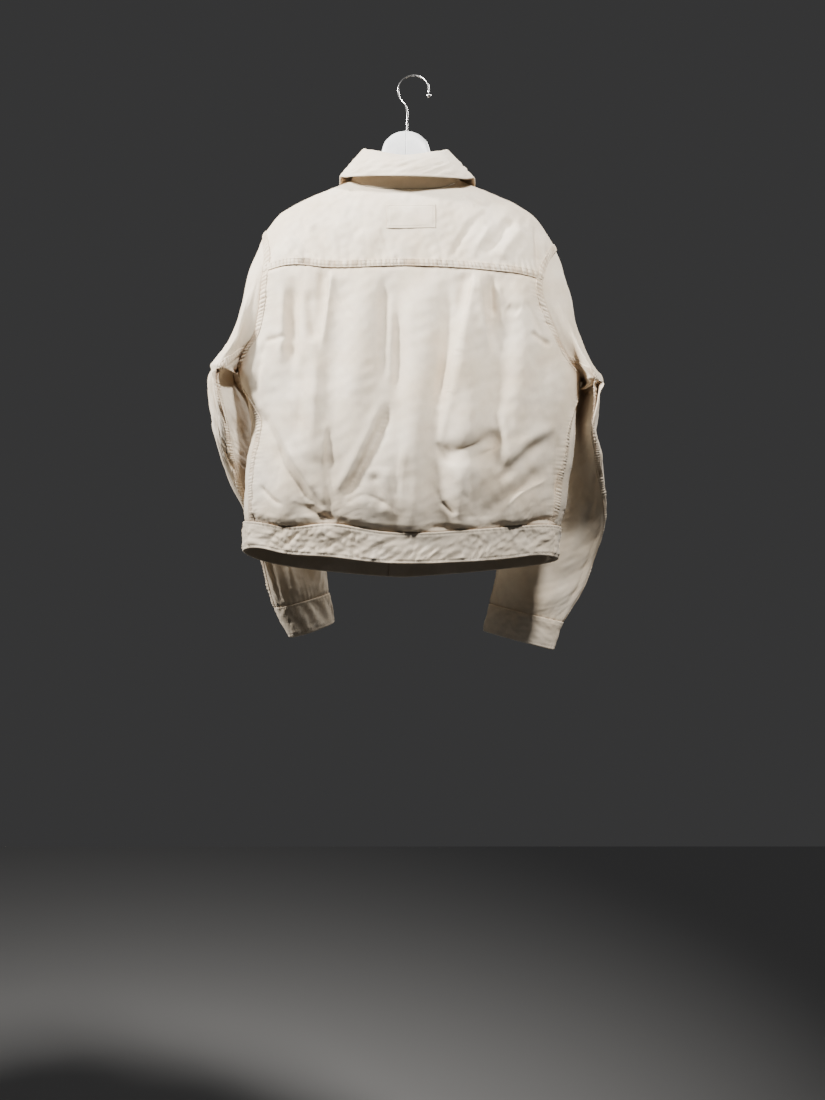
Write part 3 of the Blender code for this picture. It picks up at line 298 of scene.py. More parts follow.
# Hanger: its centre, and sections out along each half.
HANGER_X = 0.0124
HANGER = table("x top bottom half_depth", [
    (0, -88.7, -183, 12.5), (14, -91.2, -183.5, 12.5), (27, -99, -184.5, 12.5),
    (37, -113, -186, 12.5), (42, -132, -187, 12.5), (52, -149, -189, 12.5), (70, -167, -194, 12),
    (95, -183, -206, 12), (130, -200, -226, 13), (160, -215, -245, 14), (190, -231, -264, 14.5),
    (208, -247, -274, 13), (215, -258, -270, 8),
])
WIRE = 0.0035
HOOK_RADIUS = 0.025
HOOK_Z = WIRE / 2 - HOOK_RADIUS
SHANK_X = 0.0106
SHANK_TOP_Z = -0.056
BALL_RADIUS = 0.004

# ---------------------------------------------------------------- creases shown by the cloth

# Creases of the back panel: a line from start to end, its bow, its half width, its rise (a groove
# is negative), and how keen its crest is, from 0, soft, to 1.
CREASE_COLUMNS = "x0 z0 x1 z1 bow width rise keen"
BACK_CREASES = table(CREASE_COLUMNS, [
    (166.2, -356.1, 158.4, -449, 0, 10, -3, 0), (188.3, -334, 189.9, -491.6, 0, 9, -3, 0),
    (205.6, -338.8, 211.9, -480.6, 0, 7, 2, 0), (238.7, -438, 257.6, -527.8, 0, 6, -2, 0),
    (238.7, -439.6, 202.5, -433.3, 0, 5, -1.6, 0), (46.5, -327.7, 51.2, -512.1, 0, 6, -1.6, 0),
    (35.5, -354.5, 37, -527.8, 0, 6, 1.2, 0), (22.9, -378.2, 26, -535.7, 0, 6, -1.6, 0),
    (120.5, -362.4, 90.6, -406.5, 3.2, 3, -0.8, 0.5), (5.5, -362.4, 8.7, -567.2, 0, 10, 1.4, 0),
    (-55.9, -362.4, -35.4, -551.4, -4.7, 8, -2.2, 0),
    (-74.8, -378.2, -48, -527.8, -4.7, 5, 1.4, 0),
    (-123.6, -334, -128.4, -406.5, 0, 4.5, -2.2, 0),
    (-134.7, -346.6, -144.1, -425.4, 0, 5, 1.2, 0), (-147.3, -386, -167.8, -397.1, 0, 8, -1.6, 0),
    (-175.6, -371.9, -207.1, -438, 0, 5, -1.8, 0.3),
    (-183.5, -425.4, -218.2, -449, 0, 5, -2.2, 0),
    (-199.3, -378.2, -213.4, -397.1, 0, 3, -1.4, 0.5),
    (-207.1, -406.5, -224.5, -420.7, 0, 3, -1.4, 0.5),
    (171, -456.9, 183.6, -598.7, 0, 9, -2.2, 0), (150.5, -456.9, 159.9, -614.5, 0, 8, 1.8, 0),
    (137.1, -570.4, 143.4, -646, 0, 2.4, 2.4, 1), (133.1, -573.5, 137.9, -649.1, 0, 2, -1.6, 1),
    (136.3, -639.7, 124.5, -727.9, 0, 2.4, 2, 1), (248.1, -543.6, 205.6, -633.4, 0, 9, -3, 0),
    (226.1, -598.7, 131.6, -726.3, 6.3, 11, -4, 0), (205.6, -598.7, 150.5, -693.2, 0, 7, 2.2, 0),
    (178.8, -699.5, 122.1, -726.3, 3.2, 3.2, -3.6, 1),
    (175.7, -688.5, 131.6, -712.1, 3.2, 4.5, 2, 0.5),
    (246.6, -668, 204, -701.1, 3.2, 3.5, -3, 0.6),
    (214.3, -636.5, 216.6, -677.5, 0, 2.6, -1.6, 0.8),
    (194.6, -688.5, 153.6, -701.1, 3.2, 2.5, 1.2, 0.8),
    (30.7, -529.4, 115.8, -701.1, -4.7, 3.4, -4, 1),
    (44.9, -529.4, 131.6, -693.2, -4.7, 8, 2.6, 0), (65.4, -646, 44.9, -712.1, 0, 10, -2.8, 0),
    (107.9, -699.5, 74.9, -682.2, 0, 4, -1.4, 0.6),
    (74.9, -682.2, 24.4, -712.1, 0, 3.5, -1.6, 0.6), (15, -598.7, 21.3, -716.9, 0, 5, 2, 0),
    (-65.4, -456.9, -26, -592.4, 0, 2.4, 1.8, 1), (-76.4, -456.9, -39.4, -617.6, 0, 2, 2.4, 1),
    (-37, -617.6, -144.1, -594, 20.5, 16, -4, 0),
    (-35.4, -598.7, -66.9, -641.2, 4.7, 5, -2.2, 0.5),
    (-136.2, -535.7, -148.8, -646, 0, 11, 2, 0),
    (-88.7, -638.1, -91.3, -712.1, -1.6, 2.2, -1.8, 1),
    (-54.3, -647.5, -87.4, -696.4, 3.2, 2.2, -1.4, 1),
    (-27.5, -664.9, -65.4, -718.4, 4.7, 3, -1.2, 0.8),
    (-43.3, -696.4, -66.9, -715.3, 0, 5, -1.8, 0),
    (-82.7, -731, -233.9, -586.1, -17.3, 13, -3.6, 0),
    (-104.7, -712.1, -230.8, -567.2, -17.3, 12, 3, 0),
    (-136.2, -715.3, -218.2, -658.6, -6.3, 3, 3, 0.8),
    (-230.8, -583, -230.8, -701.1, 0, 5, -1.8, 0),
])
YOKE_CREASES = table(CREASE_COLUMNS, [
    (200.9, -248.1, 148.5, -316.3, 1.6, 3, -3.4, 1), (205.6, -267.1, 165.9, -319.5, 3.2, 8, 3, 0),
    (161.2, -251.2, 126.2, -314.7, 0, 10, -2.6, 0), (108.8, -224.2, 81.8, -273.5, 0, 9, -1.6, 0),
    (82.6, -222.7, 72.3, -305.2, 0, 3, -0.7, 0.8),
    (53.2, -254.4, 38.9, -308.4, 0, 3.5, -0.9, 0.6),
    (132.6, -208.4, 88.1, -189.3, 0, 4, -1.4, 0.5), (145.3, -221.1, 97.7, -200.4, 0, 5, 1.2, 0),
    (180.2, -235.4, 170.7, -267.1, 0, 4, -1.2, 0.3),
    (-72.2, -194.1, -116.7, -224.2, 4.8, 3.5, -1.6, 0.6),
    (-83.3, -195.7, -124.6, -217.9, 4.8, 4, 1.2, 0.3),
    (-167.5, -235.4, -113.5, -305.2, 4.8, 8, -3, 0),
    (-181.8, -251.2, -132.6, -314.7, 4.8, 9, 2.6, 0),
    (-108.7, -236.9, -57.9, -316.3, 4.8, 7, -2.2, 0),
    (-127.8, -254.4, -89.7, -314.7, 4.8, 7, 1.8, 0),
    (-197.7, -244.9, -199.2, -324.3, 0, 4, -3.6, 0.3),
    (-210.4, -260.8, -208.8, -314.7, 0, 4, 1.6, 0), (224.7, -273.5, 231, -314.7, 0, 4.5, -1.4, 0),
    (-34.1, -267.1, -51.6, -314.7, 0, 3.5, -0.9, 0.5),
])

# Creases of the fronts, for the left one; the right one's are turned over and a little smaller.
FRONT_CREASES = table(CREASE_COLUMNS, [
    (30, -280, 110, -470, 8, 10, -3, 0), (60, -260, 150, -450, 8, 8, 2, 0),
    (170, -270, 130, -410, -6, 6, -2.6, 0.3), (205, -360, 150, -470, 5, 6, -2.4, 0.2),
    (220, -440, 170, -500, 0, 4.5, -2, 0.5), (90, -450, 85, -740, 0, 12, -3.6, 0),
    (130, -480, 120, -730, 0, 9, 2.8, 0), (170, -510, 180, -730, 0, 10, -3, 0),
    (215, -520, 225, -720, 0, 8, 2.2, 0), (30, -360, 90, -410, 4, 4, -1.4, 0.5),
    (29, -490, 100, -530, 4, 4, -1.6, 0.5), (29, -620, 90, -660, -4, 4, -1.6, 0.5),
    (40, -755, 120, -680, 6, 3.2, -2.6, 0.9), (150, -750, 220, -670, -6, 3.4, -2.8, 0.9),
])

# Creases of the sleeves: metres round from the outer edge, towards the back seam, and metres down.
SLEEVE_CREASES = table(CREASE_COLUMNS, [
    (0, -145, 85, -135, 0, 6, -4, 0.6), (10, -170, 80, -210, 6, 7, -2.6, 0.3),
    (75, -235, 15, -260, 4, 6, -3, 0.5), (80, -270, 20, -310, -5, 6, -2.6, 0.4),
    (30, -290, 70, -340, 0, 5, 1.8, 0.4), (60, -350, 55, -460, 0, 6, -2.2, 0.2),
    (30, -20, 40, -120, 0, 9, -2.2, 0), (55, -25, 60, -120, 0, 6, 1.4, 0),
    (95, -220, 135, -300, 6, 7, -3, 0.3), (110, -330, 115, -470, 0, 6, -2.4, 0.2),
    (145, -260, 150, -460, 0, 8, 2.4, 0), (-30, -150, -90, -190, 6, 6, -3.2, 0.5),
    (-20, -220, -90, -240, 0, 6, -3, 0.5), (-25, -300, -85, -280, 0, 5, -2.4, 0.5),
    (-50, -330, -55, -470, 0, 7, -2.2, 0),
])
# The least half width that the grid shows well, and by how much each piece deepens its table.
THINNEST_CREASE = 0.0034
BACK_DEPTH = 2.0
YOKE_DEPTH = 1.6
FRONT_DEPTH = {"left": 1.9, "right": 1.6}
SLEEVE_DEPTH = {"left": 1.5, "right": 1.2}

# Felled seams, puckers, stitches and edges.
FELL = 0.011
FELL_RISE = 0.0012
FELL_ROWS = (0.002, 0.0085)
FELL_LINES = (0, 0.0008, 0.002, 0.0032, 0.0046, 0.006, 0.0073, 0.0085, 0.0097, 0.0108, 0.0115)
STRIP_STEP = 0.0011
# Edges of the bands: how far in each row of stitches lies with the height of its puckers, the
# groove's depth and half width, and how wide and how far apart the puckers are.
WAISTBAND_SEAMS = {
    "rows": ((0.003, 0.0017), (0.0036, 0.0012)),
    "groove": (0.0008, 0.0013),
    "spread": 0.0055,
    "pitch": 0.0085,
}
CUFF_SEAMS = {
    "rows": ((0.003, 0.0009), (0.004, 0.0009)),
    "groove": (0.0007, 0.0012),
    "spread": 0.005,
    "pitch": 0.0075,
}
ROW_SINK = 0.0005
PUCKER = 0.0019
PUCKER_PITCH = 0.0074
LADDER_PITCH = 0.0046
STITCH = 0.0028
STITCH_PITCH = 0.0038
THREAD = 0.00028
TUCK = 0.0045
TUCK_DEPTH = 0.001
RUN_UNDER = 0.003
RUN_UNDER_DEPTH = 0.0006
# How an edge is turned under: how far each step goes past the edge, and how deep.
TURNS = ((0.0003, 0.0004), (-0.0004, 0.001))

# How finely the pieces are divided.
BACK_COLUMNS = 240
BACK_ARM_ROWS = 140
SIDE_STEPS = 175
YOKE_ROWS = 96
RIDGE_STEPS = {"back": 84, "front": 56}
NECK_STEPS = {"back": 54, "front": 62}
FRONT_ARM_ROWS = 90
FRONT_SIDE_STEPS = 105
SLEEVE_COLUMNS = {"upper": 180, "under": 90}
SLEEVE_ROWS = 212
BAND_ROWS = 28
SEAM_SHARE = 2 / 3
ARM_SHARE = {"back": 0.48, "front": 0.7}
ARM_REACH = {"back": 0.45, "front": 0.25}
PLACKET_GRID = (20, 220)
PATCH_GRID = (64, 34)
WAISTBAND_COLUMNS = {"back": 300, "front": 190, "lap": 28}
CUFF_COLUMNS = 170
COLLAR_COLUMNS = 260
COLLAR_ROWS = {"stand": 20, "fall": 36}
HANGER_SECTIONS = 80
HOOK_SECTIONS = 220
ROUND_POINTS = {"hanger": 48, "button": 48, "wire": 20, "ball": 40}
BALL_ROWS = 26

# ---------------------------------------------------------------- smooth curves through tables


def spline(keys, values, at):
    """Cubic through rows of values at rising keys; each row may hold one number or many."""
    at = np.clip(at, keys[0], keys[-1])
    row = np.clip(np.searchsorted(keys, at) - 1, 0, len(keys) - 2)
    slopes = np.gradient(values, keys, axis=0)
    step = keys[row + 1] - keys[row]
    share = (at - keys[row]) / step
    extra = values.ndim - 1
    step = step.reshape(step.shape + (1,) * extra)
    share = share.reshape(share.shape + (1,) * extra)
    rest = 1.0 - share
    start = values[row] * (1 + 2 * share) * rest ** 2
    end = values[row + 1] * (1 + 2 * rest) * share ** 2
    leaving = slopes[row] * step * share * rest ** 2
    arriving = slopes[row + 1] * step * rest * share ** 2
    return start + end + leaving - arriving


def along(sheet, column, at, key="z"):
    """Smooth value of a table's column where its key column has the value at."""
    at = np.asarray(at, float)
    keys = sheet[key]
    values = sheet[column]
    if keys[0] > keys[-1]:
        keys = keys[::-1]
        values = values[::-1]
    return spline(keys, values, at)


def signed_power(value, power):
    """The size of a number raised to a power, with the number's own sign."""
    return np.sign(value) * np.abs(value) ** power


def unit(vectors):
    """Vectors of length one."""
    return vectors / np.maximum(np.linalg.norm(vectors, axis=-1, keepdims=True), 1e-12)


def blend(start, end, share):
    """Straight blend from start to end."""
    return start + (end - start) * share


def ease(value):
    """Smooth step from 0 to 1."""
    value = np.clip(value, 0.0, 1.0)
    return value * value * (3 - 2 * value)


def bell(value, width):
    """A bell of height one: it peaks where the value is zero."""
    return np.exp(-((value / width) ** 2))


def fading(value, reach):
    """One where the value is zero, and a third of what it was after every reach."""
    return np.exp(-value / reach)


# ---------------------------------------------------------------- form of the body


def shoulder_z(x):
    """Height of the shoulder line at x from the centre."""
    return along(SHOULDER, "z", np.abs(x), "x")


def body_x(angle, z):
    """Distance from the centre line of the ring point at this angle."""
    return along(BODY, "half", z) * signed_power(np.cos(angle), 2 / ROUNDNESS)


def body_angle(x, z):
    """Angle, from 0 at the side to a quarter turn at the middle, of a point x from the centre."""
    share = np.clip(np.abs(x) / along(BODY, "half", z), 0, 1) ** (ROUNDNESS / 2)
    return np.arccos(share)


def back_folds(x, z):
    """Height of the back's folds and pleats over its smooth form, at world x and z."""
    height = np.zeros_like(x)
    for *line, width, rise in zip(*BACK_FOLDS.values()):
        share, across, _ = fold_place(x, z, line)
        height += rise * ease(share / 0.22) * ease((1 - share) / 0.22) * bell(across, width)
    for *line, run, rise, side in zip(*PLEATS.values()):
        height += rise * pleat_step(x, z, line, side, 0.5, 0.004, run)[0]
    return height


def pleat_relief(x, z):
    """What hangs on the pleats over the form: a keener step and a soft hollow before it."""
    height = np.zeros_like(x)
    for *line, _, _, side in zip(*PLEATS.values()):
        step, over, fade = pleat_step(x, z, line, side, 0.3, 0.0045, 0.013)
        height += 0.0042 * step - 0.0036 * bell(over + 0.01, 0.009) * fade
    return height


def pleat_step(x, z, line, side, end, keen, run):
    """A pleat's step, the distance over its edge and the share of it that is left at its ends.

    The step rises over the keen distance and runs off behind the edge; end is the share of the
    pleat's length over which it dies away at its foot.
    """
    share, across, length = fold_place(x, z, line)
    over = across * side
    fade = ease(share * length / 0.02) * ease((1 - share) / end)
    return fade * ease(over / keen + 0.5) * fading(np.maximum(over, 0), run), over, fade


def fold_place(x, z, line):
    """Share along a fold line, signed distance from it towards +X, and the line's length."""
    x0, z0, x1, z1 = line
    length = math.hypot(x1 - x0, z1 - z0)
    along_x = (x1 - x0) / length
    along_z = (z1 - z0) / length
    share = ((x - x0) * along_x + (z - z0) * along_z) / length
    across = (x - x0) * -along_z + (z - z0) * along_x
    return share, across, length


def body_points(angle, z):
    """Outer surface of the body at an angle round it and a height."""
    x = body_x(angle, z)
    behind = np.sin(angle) >= 0
    depth = np.where(behind, along(BODY, "back", z), along(BODY, "front", z))
    drop = np.clip((shoulder_z(x) - z) / SHOULDER_ROUND, 0, 1)
    rounding = np.sqrt(1 - (1 - drop) ** 2)
    y = depth * signed_power(np.sin(angle), 2 / ROUNDNESS) * rounding
    world_x = along(BODY, "centre", z) + x
    edge = ease((0.97 - np.abs(np.cos(angle))) / 0.25)
    y = y + np.where(behind, back_folds(world_x, z) * edge, 0.0)
    return np.stack([world_x, y, z + 0 * x], axis=-1)


def body_normals(angle, z):
    """Outward unit normals of the body's surface."""
    nudge = 1e-3
    turned = body_points(angle + nudge, z) - body_points(angle - nudge, z)
    lowered = body_points(angle, z - nudge) - body_points(angle, z + nudge)
    return unit(np.cross(lowered, turned))


def ring_angle(x, z):
    """Angle round the back of the body, from 0 at the left side, of a point x from the centre."""
    return np.where(x >= 0, body_angle(x, z), math.pi - body_angle(x, z))


def waist(column, angle):
    """Height of the waistband seam or the hem at an angle round the body, in radians."""
    degrees = np.mod(np.degrees(angle) + 90, 360) - 90
    return along(WAIST, column, degrees, "angle")


# ---------------------------------------------------------------- armholes and sleeves


def armhole(side, angle):
    """Points of the armhole seam and their ring angles round the body.

    Angle 0 is at the shoulder, a quarter turn at the back, a half turn under the arm.
    """
    sheet = ARMHOLE[side]
    sign = SIDES[side]
    drop = (1 - np.cos(angle)) / 2
    z = blend(shoulder_z(sheet["back"][0]), UNDERARM_Z[side], drop)
    behind = np.sin(angle) >= 0
    x = np.where(behind, along(sheet, "back", drop, "drop"), along(sheet, "front", drop, "drop"))
    x = x + (along(BODY, "half", UNDERARM_Z[side]) - sheet["back"][-1]) * drop ** 8
    ring = body_angle(x, z) * np.where(behind, 1.0, -1.0)
    ring = ring if sign > 0 else math.pi - ring
    return body_points(ring, z), ring


def slipped(angle, degrees):
    """Angles moved towards the under side, most where the seams are."""
    return angle + math.radians(degrees) * np.sin(angle)


def loop_angle(drop):
    """Angle round the back of the armhole at a share of its height."""
    return math.acos(1 - 2 * drop)


def sleeve_rings(side, angle):
    """Ring points of a sleeve: the armhole seam, then the table's rings, one row for each."""
    sheet = SLEEVE[side]
    sign = SIDES[side]
    rings = [armhole(side, slipped(angle, sleeve_slip(side)))[0]]
    centres = [rings[0].mean(axis=0)]
    for row in range(len(sheet["y"])):
        at = {name: sheet[name][row] for name in sheet}
        turn = math.radians(at["turn"])
        middle = np.array([(at["outer_x"] + at["inner_x"]) / 2, at["y"], 0.0])
        middle[2] = (at["outer_z"] + at["inner_z"]) / 2
        thick = (at["outer_x"] - at["inner_x"]) / 2
        rise = (at["outer_z"] - at["inner_z"]) / 2
        to_outer = np.array([thick * math.cos(turn), -thick * math.sin(turn), rise])
        to_back = at["broad"] * np.array([math.sin(turn), math.cos(turn), at["lean"]])
        moved = slipped(angle, at["slip"])
        out = signed_power(np.cos(moved), RING_POINT)[..., None]
        back = np.sin(moved)[..., None]
        ring = middle + out * to_outer + back * to_back
        ring[..., 0] += at["bow"] * np.sin(moved) ** 2
        ring[..., 0] *= sign
        middle[0] *= sign
        rings.append(ring)
        centres.append(middle)
    return np.array(rings), np.array(centres)


def sleeve_slip(side):
    """Degrees from the back of the armhole to the sleeve's back seam."""
    return math.degrees(blend(loop_angle(YOKE_DROP[side]), math.pi, SEAM_SHARE)) - 90


def sleeve_keys(side):
    """Distance of each sleeve ring from the armhole, averaged round the sleeve."""
    rings, _ = sleeve_rings(side, np.linspace(0, 2 * math.pi, 73))
    return run_along(rings, 0).mean(axis=-1)


def sleeve_points(side, angle, first, last, rows):
    """Sleeve surface between two rings: a cubic through the rings at each angle, row by row."""
    rings, centres = sleeve_rings(side, angle)
    keys = sleeve_keys(side)
    at = np.linspace(keys[first], keys[last], rows)
    grid = spline(keys, rings, at)
    middle = spline(keys, centres, at)
    return grid.transpose(1, 0, 2), middle[None, :, :]


def shares(count):
    """Even shares from 0 to 1."""
    return np.linspace(0, 1, count)


def close_at_ends(count, zone, times):
    """Shares from 0 to 1, set times closer together within a zone at each end."""
    even = shares(2001)
    near = ease((2 * zone - even) / zone) + ease((even - 1 + 2 * zone) / zone)
    steps = np.cumsum(1 + (times - 1) * near)
    return np.interp(shares(count), (steps - steps[0]) / (steps[-1] - steps[0]), even)


def slow_start(count):
    """Shares s * s * (2 - s): rows that lie evenly over the rounded shoulder."""
    even = shares(count)
    return even * even * (2 - even)


# ---------------------------------------------------------------- folds, creases and puckers


def soft_waves(x, y, size, seed, count=26):
    """Smooth uneven height, about -1 to 1: sines in many directions, each about size long."""
    draw = np.random.default_rng(seed)
    turn = draw.uniform(0, 2 * math.pi, count)
    length = size * draw.uniform(0.75, 1.5, count)
    start = draw.uniform(0, 2 * math.pi, count)
    total = 0 * x
    for number in range(count):
        across = x * math.cos(turn[number]) + y * math.sin(turn[number])
        total = total + np.sin(2 * math.pi * across / length[number] + start[number])
    return total / math.sqrt(count) / 1.2


def layered(x, y, *layers):
    """A sum of soft waves, each with its height, its length and its seed."""
    return sum(rise * soft_waves(x, y, size, seed) for rise, size, seed in layers)


def crumples(x, y, size, seed):
    """Crushed cloth, about -1 to 1: facets that meet in keen valleys and keen ridges."""
    x = x + 0.55 * y
    drift = size * 0.3
    x = x + drift * soft_waves(x, y, 2.5 * size, seed + 7)
    total = 0 * x
    for number, share in enumerate((0.9, -0.8, 0.45, -0.4)):
        scale = size if number < 2 else size / 2.1
        wave = soft_waves(x, y, scale, seed + number, 7)
        total = total + share * np.sqrt(wave ** 2 + 0.012)
    return total


def creases(x, z, sheet, scale=1.0):
    """Height of a table of creases: across each line a bell, or a crest with straight flanks."""
    height = np.zeros_like(x)
    for *line, bow, width, rise, keen in zip(*sheet.values()):
        share, across, _ = fold_place(x, z, line)
        across = across - bow * 4 * share * (1 - share)
        fade = ease(share / 0.25) * ease((1 - share) / 0.25)
        width = max(width, THINNEST_CREASE)
        crest = np.exp(-np.sqrt(across ** 2 + 3e-7) / width)
        height += rise * scale * (1 - 0.45 * keen) * fade * blend(bell(across, width), crest, keen)
    return height


def ripples(run, pitch, seed):
    """Uneven puckers along a seam, 0 to 1: a folded sine whose pitch and height wander."""
    start = np.random.default_rng(seed).uniform(0, 2 * math.pi, 6)
    drift = 0.0
    size = 0.0
    for number in range(3):
        drift = drift + np.sin(run / (pitch * (1.3 + 1.7 * number)) + start[number])
        size = size + np.sin(run / (pitch * (0.9 + 1.1 * number)) + start[3 + number])
    fold = np.abs(np.sin(math.pi * run / pitch + 0.9 * drift))
    return fold ** 0.8 * np.clip(0.62 + 0.22 * size, 0.1, 1.1)


def runs_out(inset, run, seed, height=0.0011, pitch=PUCKER_PITCH, reach=0.007):
    """Puckers that run out of a seam into the cloth, by the distance in from the seam's edge."""
    fade = ease(inset / 0.005) * fading(np.maximum(inset - FELL, 0), reach)
    return height * fade * ripples(run, pitch, seed)


def run_along(points, axis):
    """Distance of each point along one way of a grid, or along a line, from its start."""
    steps = np.linalg.norm(np.diff(points, axis=axis), axis=-1)
    start = np.zeros_like(steps[:1]) if axis == 0 else np.zeros_like(steps[:, :1])
    return np.concatenate([start, np.cumsum(steps, axis=axis)], axis=axis)


def margins(base):
    """Distances in from a grid's first and last columns and its first and last rows."""
    across = run_along(base, 0)
    down = run_along(base, 1)
    return across, across[-1:] - across, down, down[:, -1:] - down


def grid_normals(points, outward):
    """Unit normals of a grid of points, turned to the side of the outward directions."""
    normals = unit(np.cross(np.gradient(points, axis=0), np.gradient(points, axis=1)))
    return normals if np.sum(normals * outward) > 0 else -normals


# ---------------------------------------------------------------- sheets, walls and stitches


def lines_from(grid, edge):
    """A grid's lines from an edge inwards: c0 and c1 are end columns, r0 and r1 end rows."""
    lines = np.moveaxis(grid, "cr".index(edge[0]), 0)
    return lines[::-1] if edge[1] == "1" else lines


def beyond(points, outward, edge, reach, depth):
    """The grid with a line of points added past an edge, reach beyond it and depth below it."""
    lines = lines_from(points, edge)
    out = lines_from(outward, edge)
    count = lines.shape[1]
    reach, depth = (np.broadcast_to(size, count)[:, None] for size in (reach, depth))
    added = lines[0] + unit(lines[0] - lines[1]) * reach - out[0] * depth
    grids = []
    for first, rest in ((added, lines), (out[0], out)):
        whole = np.concatenate([first[None], rest])
        whole = whole[::-1] if edge[1] == "1" else whole
        grids.append(np.moveaxis(whole, 0, "cr".index(edge[0])))
    return grids


def edged(points, outward, turned=(), tucked=(), lapped=()):
    """The grid with edges turned under, tucked below a felled seam, or run under a band."""
    for edge in turned:
        for reach, depth in TURNS:
            points, outward = beyond(points, outward, edge, reach, depth)
    for edge in tucked:
        points, outward = beyond(points, outward, edge, TUCK, TUCK_DEPTH)
    for edge in lapped:
        points, outward = beyond(points, outward, edge, RUN_UNDER, RUN_UNDER_DEPTH)
    return points, outward


def softened(points):
    """A grid with each inner point moved twice towards the middle of its neighbours."""
    points = points.copy()
    for _ in range(2):
        points[1:-1] = (points[:-2] + 2 * points[1:-1] + points[2:]) / 4
        points[:, 1:-1] = (points[:, :-2] + 2 * points[:, 1:-1] + points[:, 2:]) / 4
    return points


def build_mesh(name, vertices, faces, material, coordinates=None, valley=None):
    """A smooth object from arrays: vertices, faces, cloth coordinates and depth in the puckers."""
    mesh = bpy.data.meshes.new(name)
    mesh.from_pydata(vertices, [], faces)
    if coordinates is not None:
        layer = mesh.uv_layers.new(name="cloth")
        corners = np.zeros(len(mesh.loops), np.int32)
        mesh.loops.foreach_get("vertex_index", corners)
        layer.data.foreach_set("uv", coordinates[corners].astype(np.float32).ravel())
    if valley is not None:
        layer = mesh.attributes.new("valley", "FLOAT", "POINT")
        layer.data.foreach_set("value", valley.astype(np.float32))
    mesh.validate()
    mesh.shade_smooth()
    mesh.materials.append(material)
    piece = bpy.data.objects.new(name, mesh)
    bpy.context.scene.collection.objects.link(piece)
    return piece


def grid_faces(points, outward):
    """Quads of a grid, turned to face outward."""
    columns, rows = points.shape[:2]
    index = np.arange(columns * rows).reshape(columns, rows)
    quads = np.stack([index[:-1, :-1], index[1:, :-1], index[1:, 1:], index[:-1, 1:]], axis=-1)
    cross = np.cross(np.gradient(points, axis=0), np.gradient(points, axis=1))
    quads = quads.reshape(-1, 4)
    return quads if np.sum(cross * outward) > 0 else quads[:, ::-1]


def cloth_coordinates(points):
    """Metres across and down the cloth at each point of a grid, averaged over its lines."""
    across = run_along(points, 0).mean(axis=1)
    down = run_along(points, 1).mean(axis=0)
    grid = np.stack(np.broadcast_arrays(across[:, None], down[None, :]), axis=-1)
    return grid.reshape(-1, 2)


def finish_piece(piece, nodes):
    """The piece rides on the body and stands for these nodes, which are hidden."""
    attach(piece, "root")
    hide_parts(*nodes)
    return piece


def sheet_piece(name, node, points, outward, material):
    """A single layer of cloth over a grid of points."""
    faces = grid_faces(points, outward)
    coordinates = cloth_coordinates(points)
    piece = build_mesh(name, points.reshape(-1, 3), faces, material, coordinates)
    return finish_piece(piece, [node])


def wall_piece(name, node, outer, inner, outward, material):
    """A closed wall between two grids of points, with a rounded rim halfway between them."""
    columns, rows = outer.shape[:2]
    count = columns * rows
    index = np.arange(count).reshape(columns, rows)
    quads = grid_faces(outer, outward)
    rim = np.concatenate([index[:, 0], index[-1, 1:], index[-2::-1, -1], index[0, -2:0:-1]])
    flat_outer = outer.reshape(-1, 3)
    flat_inner = inner.reshape(-1, 3)
    half = np.linalg.norm(flat_outer - flat_inner, axis=-1)[:, None] / 2
    side = np.zeros_like(outer)
    for edge in ("c0", "c1", "r0", "r1"):
        lines = lines_from(outer, edge)
        lines_from(side, edge)[0] += unit(lines[0] - lines[1])
    middle = (flat_outer + flat_inner) / 2 + unit(side.reshape(-1, 3)) * half * 0.7
    ring = np.arange(len(rim)) + 2 * count
    following = np.roll(ring, -1)
    rim_next = np.roll(rim, -1)
    upper = np.stack([rim, rim_next, following, ring], axis=-1)
    lower = np.stack([ring, following, rim_next + count, rim + count], axis=-1)
    vertices = np.concatenate([flat_outer, flat_inner, middle[rim]])
    faces = np.concatenate([quads, quads[:, ::-1] + count])
    flat = vertices[upper[:, [0, 1, 3]]]
    turn = np.cross(flat[:, 1] - flat[:, 0], flat[:, 2] - flat[:, 0])
    if np.sum(turn * side.reshape(-1, 3)[rim]) < 0:
        upper = upper[:, ::-1]
        lower = lower[:, ::-1]
    faces = np.concatenate([faces, upper, lower])
    coordinates = cloth_coordinates(outer)
    coordinates = np.concatenate([coordinates, coordinates, coordinates[rim]])
    piece = build_mesh(name, vertices, faces, material, coordinates)
    return finish_piece(piece, [node])


def seam_line(points, outward, edge, inset):
    """Points and normals along a grid at a distance in from one of its edges."""
    lines = lines_from(points, edge)
    out = lines_from(outward, edge)
    run = run_along(lines, 0)
    after = np.clip((run < inset).sum(axis=0), 1, len(run) - 1)
    number = np.arange(lines.shape[1])
    start = run[after - 1, number]
    share = ((inset - start) / np.maximum(run[after, number] - start, 1e-9))[:, None]
    line = blend(lines[after - 1, number], lines[after, number], share)
    return line, unit(blend(out[after - 1, number], out[after, number], share))


def resampled(places, run, values):
    """Values given along a line, at other distances along it."""
    return np.stack([np.interp(places, run, values[:, axis]) for axis in range(3)], axis=-1)


